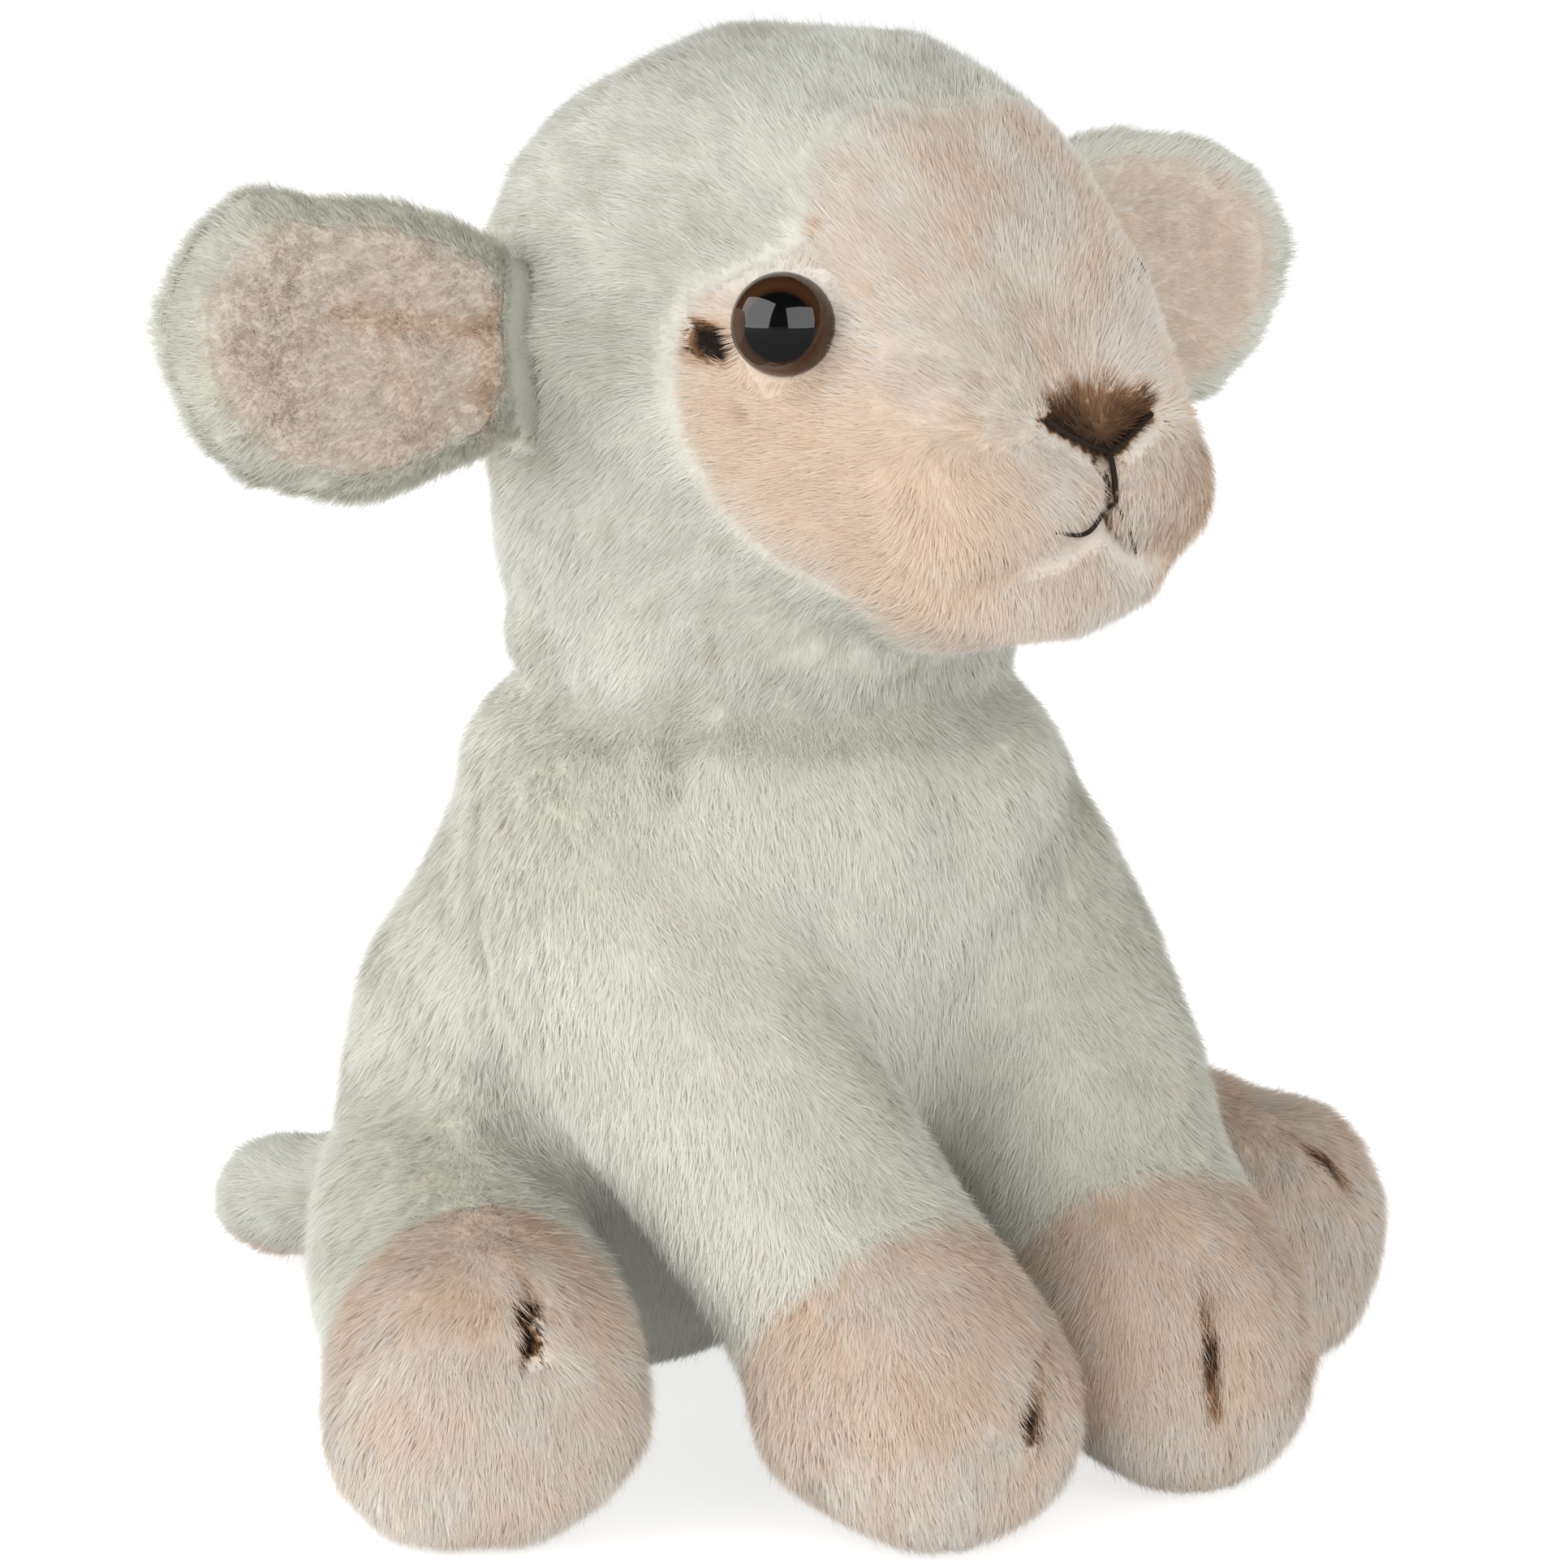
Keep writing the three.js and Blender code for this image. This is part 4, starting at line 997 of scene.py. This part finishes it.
def strands_object(name, points, faces, uv_u, uv_v, body):
    used, faces = np.unique(faces, return_inverse=True)
    faces = faces.reshape(-1, 3)
    points, uv_u, uv_v = points[used], uv_u[used], uv_v[used]
    mesh = bpy.data.meshes.new(name)
    mesh.vertices.add(len(points))
    mesh.vertices.foreach_set("co", points.astype(np.float32).ravel())
    mesh.loops.add(faces.size)
    mesh.loops.foreach_set("vertex_index", faces.astype(np.int32).ravel())
    mesh.polygons.add(len(faces))
    mesh.polygons.foreach_set("loop_start", np.arange(0, faces.size, 3, dtype=np.int32))
    mesh.polygons.foreach_set("use_smooth", np.ones(len(faces), bool))
    layer = mesh.uv_layers.new(name="OFBake")
    uv = np.stack([uv_u, uv_v], axis=1)[faces.ravel()]
    layer.data.foreach_set("uv", uv.astype(np.float32).ravel())
    mesh.update(calc_edges=True)
    mesh.materials.append(material_of("Plush pile", plush_pile))
    obj = mesh_object(name, mesh)
    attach(obj, body)
    return obj


# Cloth panels

found_eyes = []
skins = {}


def middle_of(values):
    return (values.max() + values.min()) / 2


def eye_seats():
    """Where each eye of the CAD sits: its node, the middle of its flat back and its direction."""
    if found_eyes:
        return found_eyes
    for side, name in ((-1, "eye_right"), (1, "eye_left")):
        outwards = np.array((side * math.sin(EYE_BEARING), -math.cos(EYE_BEARING), 0.0))
        level = np.array((outwards[1], -outwards[0], 0.0))
        points = coordinates(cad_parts[name].data)
        reach = points @ outwards
        rim = points[reach > reach.max() - EYE_RIM_HEIGHT]
        centre = level * middle_of(rim @ level) + np.array((0, 0, middle_of(rim[:, 2])))
        place = centre + outwards * (reach.max() - EYE_HEIGHT)
        found_eyes.append({"name": name, "place": place, "outwards": outwards})
    return found_eyes


def goes_in(tree, place, direction, reach):
    """Whether a line from a place runs into a solid, and not out of the one it starts in."""
    hit, normal, _, _ = tree.ray_cast(place, direction, reach)
    return hit is not None and normal.dot(direction) < 0


def calmed(normals, faces, rounds):
    """Normals averaged with their neighbours', so that the pile doesn't follow every small bump."""
    starts, ends = np.concatenate([faces[:, [0, 1]], faces[:, [1, 2]], faces[:, [2, 0]]]).T
    for _ in range(rounds):
        around = [
            np.bincount(starts, weights=normals[ends, axis], minlength=len(normals)) for axis in range(3)]
        normals = unit(normals + np.stack(around, axis=1))
    return normals


def make_form(body, voxel, smoothing, inset, onto=(), skirt=7 * MM):
    """Builds a body's stuffed form and sorts its faces into the panels of its cover. A part that is sewn
    onto others is grown together with them, and keeps a skirt of the cloth that runs over the seam."""
    names = list(PARTS[body])
    nodes = []
    for owner in (body, *onto):
        nodes += list(PARTS[owner]) + FILLINGS[owner]
    if "face_panel" in nodes:
        nodes += ["eye_right", "eye_left"]
    obj = stuffed_form(f"{body}_form", nodes, voxel, smoothing, inset)
    mesh = obj.data
    ground, faces = coordinates(mesh), triangles(mesh)
    skin = BVHTree.FromPolygons(ground.tolist(), faces.tolist())
    points = press_grooves(body, (body, *onto), skin, ground, vertex_normals(mesh))
    points[:, 2] = np.maximum(points[:, 2], CLOTH_LIFT)
    set_coordinates(mesh, points)
    normals = calmed(vertex_normals(mesh), faces, 8)
    skins[body] = BVHTree.FromPolygons(points.tolist(), faces.tolist())
    trees = [cad_tree([name]) for name in names]
    polygon = np.empty(len(faces), np.int32)
    mesh.loop_triangles.foreach_get("polygon_index", polygon)
    middles = ground[faces].mean(axis=1)
    gaps = np.array([[tree.find_nearest(middle)[3] for tree in trees] for middle in middles])
    panel = gaps.argmin(axis=1)
    if onto:
        panel[gaps.min(axis=1) > skirt] = -1
    polygon_panel = np.zeros(len(mesh.polygons), int)
    polygon_panel[polygon] = panel
    tree = cad_tree([node for other in NEIGHBOURS[body] for node in PARTS[other]])
    outwards = unit(normals[faces].sum(axis=1))
    covered = np.array([goes_in(tree, middle, way, COVERED) for middle, way in zip(middles, outwards)])
    return obj, polygon_panel, {
        "points": points, "normals": normals, "ground": ground, "faces": faces, "names": names,
        "panel": polygon_panel[polygon], "covered": covered, "skin": skin}


def cut_panels(body, obj, polygon_panel, form):
    """Cuts a stuffed form into the panels of its cover, each a cloth of its own."""
    names = form["names"]
    for index, name in enumerate(names):
        bm = bmesh.new()
        bm.from_mesh(obj.data)
        bm.faces.ensure_lookup_table()
        spare = [face for face in bm.faces if polygon_panel[face.index] != index]
        bmesh.ops.delete(bm, geom=spare, context="FACES")
        for face in bm.faces:
            face.smooth = True
        cloth = object_from(bm, f"{name}_cloth")
        mesh = cloth.data
        points = coordinates(mesh)
        tone = mesh.attributes.new("tone", "FLOAT", "POINT")
        tone.data.foreach_set(
            "value", tone_at(body, form["skin"], points, PARTS[body][name]).astype(np.float32))
        if len(names) > 1 or -1 in polygon_panel:
            wall = cloth.modifiers.new("Cloth thickness", "SOLIDIFY")
            wall.thickness = CLOTH_THICKNESS
            wall.offset = -1
        mesh.materials.append(material_of("Plush ground", plush_ground))
        stuffing = FILLINGS[body] if index == 0 else []
        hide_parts(name, *stuffing)
        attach(cloth, body)
    bpy.data.objects.remove(obj)


def dress(body, voxel, smoothing, inset, lengths, split=None, onto=(), skirt=7 * MM):
    """Form, cloth panels and pile of one body. lengths gives each panel's pile length."""
    obj, polygon_panel, form = make_form(body, voxel, smoothing, inset, onto, skirt)
    cut_panels(body, obj, polygon_panel, form)
    for is_cream, slot in ((True, "cream_plush"), (False, "pink_plush")):
        panels = [name for name in form["names"] if (PARTS[body][name] < CREAM_LIMIT) == is_cream]
        if not panels:
            continue
        if split is None:
            grow_pile(f"{panels[0]}_pile", form, panels, body, lengths)
            continue
        share = split(form["points"][form["faces"]].mean(axis=1)).astype(int)
        for number in np.unique(share):
            part = dict(form, covered=form["covered"] | (share != number))
            grow_pile(f"{panels[0]}_pile_{number + 1}", part, panels, body, lengths)


def body_blocks(middles):
    """The number of each face's block of the body: left or right, back or front, low or high."""
    return (middles[:, 0] < 0) + 2 * (middles[:, 1] < -0.012) + 4 * (middles[:, 2] > 0.075)


def head_blocks(middles):
    """The number of each face's block of the head: left or right, low or high."""
    return (middles[:, 0] < 0) + 2 * (middles[:, 2] > 0.17)


class LambOperator:
    """What the lamb's operators have in common"""
    bl_options = {"REGISTER", "UNDO"}


class LAMB_OT_body(LambOperator, bpy.types.Operator):
    """Build the body's cover and its pile"""
    bl_idname = "lamb.body"
    bl_label = "Body"

    def execute(self, context):
        pile = context.scene.lamb_pile
        dress("body", 2.4 * MM, 14, 1.0 * MM, {"body_cover": pile.body_length}, split=body_blocks)
        return {"FINISHED"}


class LAMB_OT_neck(LambOperator, bpy.types.Operator):
    """Build the plush over the neck seam"""
    bl_idname = "lamb.neck"
    bl_label = "Neck"

    def execute(self, context):
        pile = context.scene.lamb_pile
        dress("neck", 2.2 * MM, 14, 1.7 * MM, {"neck_seam_ring": pile.body_length},
              onto=("body", "head"))
        return {"FINISHED"}


class LAMB_OT_head(LambOperator, bpy.types.Operator):
    """Build the hood and the face panel with their pile"""
    bl_idname = "lamb.head"
    bl_label = "Head"

    def execute(self, context):
        pile = context.scene.lamb_pile
        dress("head", 1.7 * MM, 12, 1.0 * MM,
              {"head_hood": pile.body_length * 0.85, "face_panel": pile.face_length},
              split=head_blocks, onto=("neck", "body"), skirt=9 * MM)
        return {"FINISHED"}


class LAMB_OT_ears(LambOperator, bpy.types.Operator):
    """Build both ears with their linings"""
    bl_idname = "lamb.ears"
    bl_label = "Ears"

    def execute(self, context):
        pile = context.scene.lamb_pile
        for side in ("right", "left"):
            dress(f"ear_{side}", 1.5 * MM, 5, 0.6 * MM,
                  {f"ear_{side}_back": pile.ear_length, f"ear_{side}_lining": pile.lining_length})
        return {"FINISHED"}


class LAMB_OT_legs(LambOperator, bpy.types.Operator):
    """Build the four legs with feet and soles"""
    bl_idname = "lamb.legs"
    bl_label = "Legs"

    def execute(self, context):
        pile = context.scene.lamb_pile
        for pair in ("front", "hind"):
            for side in ("right", "left"):
                leg = f"{pair}_{side}"
                dress(f"{pair}_leg_{side}", 2.2 * MM, 14, 1.0 * MM, {
                    f"{leg}_sleeve": pile.body_length, f"{leg}_foot": pile.foot_length,
                    f"{leg}_sole": pile.foot_length}, onto=("body",), skirt=9 * MM)
        return {"FINISHED"}


class LAMB_OT_tail(LambOperator, bpy.types.Operator):
    """Build the tail"""
    bl_idname = "lamb.tail"
    bl_label = "Tail"

    def execute(self, context):
        pile = context.scene.lamb_pile
        dress("tail", 1.6 * MM, 8, 1.3 * MM,
              {"tail_top": pile.body_length, "tail_underside": pile.foot_length},
              onto=("body",), skirt=6 * MM)
        return {"FINISHED"}


# Eyes

def moulded_eye(nodes, links, shader):
    """A brown ring round a black pupil under a clear coat, by the distance from the eye's middle."""
    iris = bpy.context.scene.lamb_colours.iris
    pupil = (0.002, 0.002, 0.002)
    radius = add_node(nodes, "Attribute", attribute_name="radius")
    ramp = add_node(nodes, "ValToRGB")
    set_ramp(ramp, [
        (0, pupil), (0.66, pupil), (0.71, shade(iris, 0.6)), (0.80, iris), (0.93, shade(iris, 0.8)),
        (1.0, shade(iris, 0.35))])
    place = add_node(nodes, "TexCoord")
    fleck = add_node(nodes, "TexNoise", {"Scale": 900})
    wobble = add_node(nodes, "Math", {1: 0.03}, operation="MULTIPLY_ADD")
    join(links,
         (place.outputs["Object"], fleck.inputs["Vector"]), (fleck.outputs["Fac"], wobble.inputs[0]),
         (radius.outputs["Fac"], wobble.inputs[2]), (wobble.outputs["Value"], ramp.inputs["Fac"]),
         (ramp.outputs["Color"], shader.inputs["Base Color"]))
    set_inputs(shader, {
        "Roughness": 0.3, "Specular IOR Level": 0.0, "Coat Weight": 1.0, "Coat IOR": 1.8,
        "Coat Roughness": 0.03})


class LAMB_OT_eyes(LambOperator, bpy.types.Operator):
    """Build the two moulded eyes, each a turned dome on a shank"""
    bl_idname = "lamb.eyes"
    bl_label = "Eyes"

    def execute(self, context):
        steps, rounds = 22, 64
        rim_depth = 0.4 * MM
        for seat in eye_seats():
            bm = bmesh.new()
            profile = [bm.verts.new((0, 0, EYE_HEIGHT))]
            for step in range(1, steps + 1):
                angle = math.pi / 2 * step / steps
                profile.append(bm.verts.new((EYE_RADIUS * math.sin(angle), 0, EYE_HEIGHT * math.cos(angle))))
            for x, depth in (
                    (EYE_RADIUS, rim_depth), (SHANK_RADIUS, rim_depth), (SHANK_RADIUS, SHANK_DEPTH),
                    (0, SHANK_DEPTH)):
                profile.append(bm.verts.new((x, 0, -depth)))
            edges = [bm.edges.new(pair) for pair in zip(profile[:-1], profile[1:])]
            bmesh.ops.spin(
                bm, geom=profile + edges, axis=(0, 0, 1), cent=(0, 0, 0), angle=2 * math.pi,
                steps=rounds, use_merge=True)
            bmesh.ops.remove_doubles(bm, verts=bm.verts, dist=1e-7)
            bmesh.ops.recalc_face_normals(bm, faces=bm.faces)
            for face in bm.faces:
                face.smooth = True
            spread = [math.hypot(vert.co.x, vert.co.y) / EYE_RADIUS for vert in bm.verts]
            turn = Vector(seat["outwards"]).to_track_quat("Z", "Y").to_matrix().to_4x4()
            bm.transform(Matrix.Translation(Vector(seat["place"])) @ turn)
            eye = object_from(bm, f"{seat['name']}_dome")
            attribute = eye.data.attributes.new("radius", "FLOAT", "POINT")
            attribute.data.foreach_set("value", np.array(spread, np.float32))
            eye.data.materials.append(material_of("Moulded eye", moulded_eye))
            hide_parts(seat["name"])
            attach(eye, "head")
        return {"FINISHED"}


# Stitching

# The threads: path, radius, height over the cloth in millimetres
THREADS = {
    "nose_stitch_right": (NOSE_V[:2], 0.5, 1.0),
    "nose_stitch_left": (NOSE_V[1:], 0.5, 1.0),
    "lip_stitch": (PHILTRUM, 0.45, 0.8),
    "mouth_stitch": (MOUTH_RIGHT, 0.35, 0.8),
    "mouth_stitch_left": (MOUTH_LEFT, 0.35, 0.8),
}


def sewing_thread(nodes, links, shader):
    thread = bpy.context.scene.lamb_colours.thread
    place = add_node(nodes, "TexCoord")
    twist = add_node(nodes, "TexNoise", {"Scale": 2600})
    ramp = add_node(nodes, "ValToRGB")
    set_ramp(ramp, [(0.3, shade(thread, 0.6)), (0.7, shade(thread, 1.3))])
    bump = add_node(nodes, "Bump", {"Distance": 0.0002})
    join(links,
         (place.outputs["Object"], twist.inputs["Vector"]), (twist.outputs["Fac"], ramp.inputs["Fac"]),
         (ramp.outputs["Color"], shader.inputs["Base Color"]), (twist.outputs["Fac"], bump.inputs["Height"]),
         (bump.outputs["Normal"], shader.inputs["Normal"]))
    set_inputs(shader, {"Roughness": 0.6})


def smooth_path(path):
    """A path through the given points, rounded at its corners."""
    path = np.asarray(path, float)
    for _ in range(3):
        cut = [path[0]]
        for start, end in zip(path[:-1], path[1:]):
            cut += [start * 0.75 + end * 0.25, start * 0.25 + end * 0.75]
        path = np.array(cut + [path[-1]])
    return path


class LAMB_OT_stitching(LambOperator, bpy.types.Operator):
    """Sew the nose, the line below it and the mouth with thick thread"""
    bl_idname = "lamb.stitching"
    bl_label = "Stitching"

    def execute(self, context):
        if "head" not in skins:
            raise RuntimeError("the stitching needs the head: build the head first")
        tapered_from, end_share = 0.6, 0.5
        for name, (path, radius, above) in THREADS.items():
            data = bpy.data.curves.new(name, "CURVE")
            data.dimensions = "3D"
            data.bevel_depth = radius * MM
            data.bevel_resolution = 3
            data.use_fill_caps = True
            places = []
            for place in smooth_path(path):
                near, normal, _, _ = skins["head"].find_nearest(place)
                places.append(near + normal * above * MM)
            places = np.array(places)
            for _ in range(24):
                places[1:-1] = (places[:-2] + 2 * places[1:-1] + places[2:]) / 4
            spline = data.splines.new("POLY")
            spline.points.add(len(places) - 1)
            for point, place, share in zip(spline.points, places, np.linspace(0, 1, len(places))):
                taper = max(0, share - tapered_from) / (1 - tapered_from)
                point.co = (*place, 1)
                point.radius = 1 - (1 - end_share) * taper if name.startswith("mouth") else 1
            guide = bpy.data.objects.new(name + "_guide", data)
            context.scene.collection.objects.link(guide)
            context.view_layer.update()
            mesh = bpy.data.meshes.new_from_object(guide.evaluated_get(context.evaluated_depsgraph_get()))
            bpy.data.objects.remove(guide)
            thread = mesh_object(name, mesh)
            mesh.materials.clear()
            mesh.materials.append(material_of("Sewing thread", sewing_thread))
            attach(thread, "head")
        return {"FINISHED"}


# Stage

# The photograph's view: the place looked at, and the camera's bearing and height in degrees and distance
TARGET = Vector((0.011, -0.01283, 0.095))
VIEW = (-40, 10, 0.98)
# The lamps' bearing, height and distance, and their width and height
LEFT_LAMP = (-100, 20, 1.3), (1.7, 1.1)
RIGHT_LAMP = (-14, 15, 1.3), (1.2, 0.8)


def around(bearing, height, distance):
    """A place round the target, by its bearing and height in degrees and its distance."""
    a, e = math.radians(bearing), math.radians(height)
    return TARGET + distance * Vector((math.sin(a) * math.cos(e), -math.cos(a) * math.cos(e), math.sin(e)))


def looking_from(place):
    """Stands an object at a place and turns it to look at the target."""
    turn = (TARGET - place).to_track_quat("-Z", "Y").to_matrix().to_4x4()
    return Matrix.Translation(place) @ turn


def add_lamp(name, seat, size, power):
    data = bpy.data.lights.new(name, "AREA")
    data.shape = "RECTANGLE"
    data.size, data.size_y = size
    data.energy = power
    lamp = bpy.data.objects.new(name, data)
    bpy.context.scene.collection.objects.link(lamp)
    lamp.matrix_world = looking_from(around(*seat))


def add_camera(scene, lens):
    data = bpy.data.cameras.new("Camera")
    data.lens = lens
    data.sensor_width = 36
    data.clip_start = 0.05
    camera = bpy.data.objects.new("Camera", data)
    scene.collection.objects.link(camera)
    camera.matrix_world = looking_from(around(*VIEW))
    scene.camera = camera


def seen_rays(nodes, links):
    """1 on rays from the camera and on transmission rays, and 0 on the rest."""
    rays = add_node(nodes, "LightPath")
    either = add_node(nodes, "Math", operation="MAXIMUM")
    join(links,
         (rays.outputs["Is Camera Ray"], either.inputs[0]),
         (rays.outputs["Is Transmission Ray"], either.inputs[1]))
    return either.outputs["Value"]


def surroundings(stage):
    """A white world that fills from all sides, less from above and hardly in glossy surfaces."""
    world = bpy.data.worlds.new("Surroundings")
    world.use_nodes = True
    nodes, links = world.node_tree.nodes, world.node_tree.links
    background = nodes["Background"]
    set_inputs(background, {"Color": (1, 1, 1, 1)})
    place = add_node(nodes, "TexCoord")
    split = add_node(nodes, "SeparateXYZ")
    overhead = add_node(nodes, "MapRange", {
        "To Min": stage.world_level, "To Max": stage.world_level * stage.overhead_share})
    level = add_node(nodes, "MapRange", {"To Max": 1.0})
    rays = add_node(nodes, "LightPath")
    dim = add_node(nodes, "MapRange", {"To Min": 1.0, "To Max": stage.mirrored_level})
    product = add_node(nodes, "Math", operation="MULTIPLY")
    join(links,
         (place.outputs["Generated"], split.inputs["Vector"]),
         (split.outputs["Z"], overhead.inputs["Value"]), (overhead.outputs["Result"], level.inputs["To Min"]),
         (seen_rays(nodes, links), level.inputs["Value"]), (level.outputs["Result"], product.inputs[0]),
         (rays.outputs["Is Glossy Ray"], dim.inputs["Value"]), (dim.outputs["Result"], product.inputs[1]),
         (product.outputs["Value"], background.inputs["Strength"]))
    return world


def pale_floor(nodes, links, shader):
    """A matt floor that the camera sees close to white and glossy surfaces see dark."""
    colour = bpy.context.scene.lamb_stage.floor
    rays = add_node(nodes, "LightPath")
    mirrored_floor = add_node(nodes, "Mix", data_type="RGBA")
    set_inputs(mirrored_floor, {"A": (*colour, 1), "B": (*shade(colour, 0.15), 1)})
    glow = add_node(nodes, "MapRange", {"To Min": 0.10, "To Max": 0.72})
    join(links,
         (rays.outputs["Is Glossy Ray"], mirrored_floor.inputs["Factor"]),
         (mirrored_floor.outputs["Result"], shader.inputs["Base Color"]),
         (seen_rays(nodes, links), glow.inputs["Value"]),
         (glow.outputs["Result"], shader.inputs["Emission Strength"]))
    set_inputs(shader, {
        "Roughness": 0.8, "Specular IOR Level": 0.1, "Emission Color": (1, 1, 1, 1)})


class LAMB_OT_stage(LambOperator, bpy.types.Operator):
    """Set up the camera, the lamps, the white surroundings and the floor"""
    bl_idname = "lamb.stage"
    bl_label = "Stage"

    def execute(self, context):
        scene = context.scene
        stage = scene.lamb_stage
        scene.view_settings.view_transform = "Standard"
        add_camera(scene, stage.lens)
        add_lamp("Left lamp", *LEFT_LAMP, stage.left_power)
        add_lamp("Right lamp", *RIGHT_LAMP, stage.right_power)
        scene.world = surroundings(stage)
        bm = bmesh.new()
        bmesh.ops.create_circle(bm, cap_ends=True, segments=96, radius=stage.floor_radius)
        floor = object_from(bm, "Floor")
        floor.data.materials.append(material_of("Pale floor", pale_floor))
        return {"FINISHED"}


STEPS = ("stage", "eyes", "body", "neck", "head", "stitching", "ears", "legs", "tail")


class LAMB_PT_panel(bpy.types.Panel):
    """Buttons for the lamb's pieces, in the order they are built"""
    bl_idname = "LAMB_PT_panel"
    bl_label = "Plush lamb"
    bl_space_type = "VIEW_3D"
    bl_region_type = "UI"
    bl_category = "Lamb"

    def draw(self, context):
        layout = self.layout
        for step in STEPS:
            layout.operator(f"lamb.{step}")
        for settings in (context.scene.lamb_pile, context.scene.lamb_colours, context.scene.lamb_stage):
            box = layout.box()
            for name in settings.__annotations__:
                box.prop(settings, name)


GROUPS = {"lamb_pile": LAMB_PG_pile, "lamb_colours": LAMB_PG_colours, "lamb_stage": LAMB_PG_stage}
OPERATORS = (
    LAMB_OT_stage, LAMB_OT_eyes, LAMB_OT_body, LAMB_OT_neck, LAMB_OT_head, LAMB_OT_stitching,
    LAMB_OT_ears, LAMB_OT_legs, LAMB_OT_tail)


def register():
    for cls in (*GROUPS.values(), *OPERATORS, LAMB_PT_panel):
        bpy.utils.register_class(cls)
    for name, group in GROUPS.items():
        setattr(bpy.types.Scene, name, PointerProperty(type=group))


def unregister():
    for name in GROUPS:
        delattr(bpy.types.Scene, name)
    for cls in (LAMB_PT_panel, *reversed(OPERATORS), *reversed(list(GROUPS.values()))):
        bpy.utils.unregister_class(cls)


def main():
    register()
    for step in STEPS:
        getattr(bpy.ops.lamb, step)()


if __name__ == "__main__":
    main()
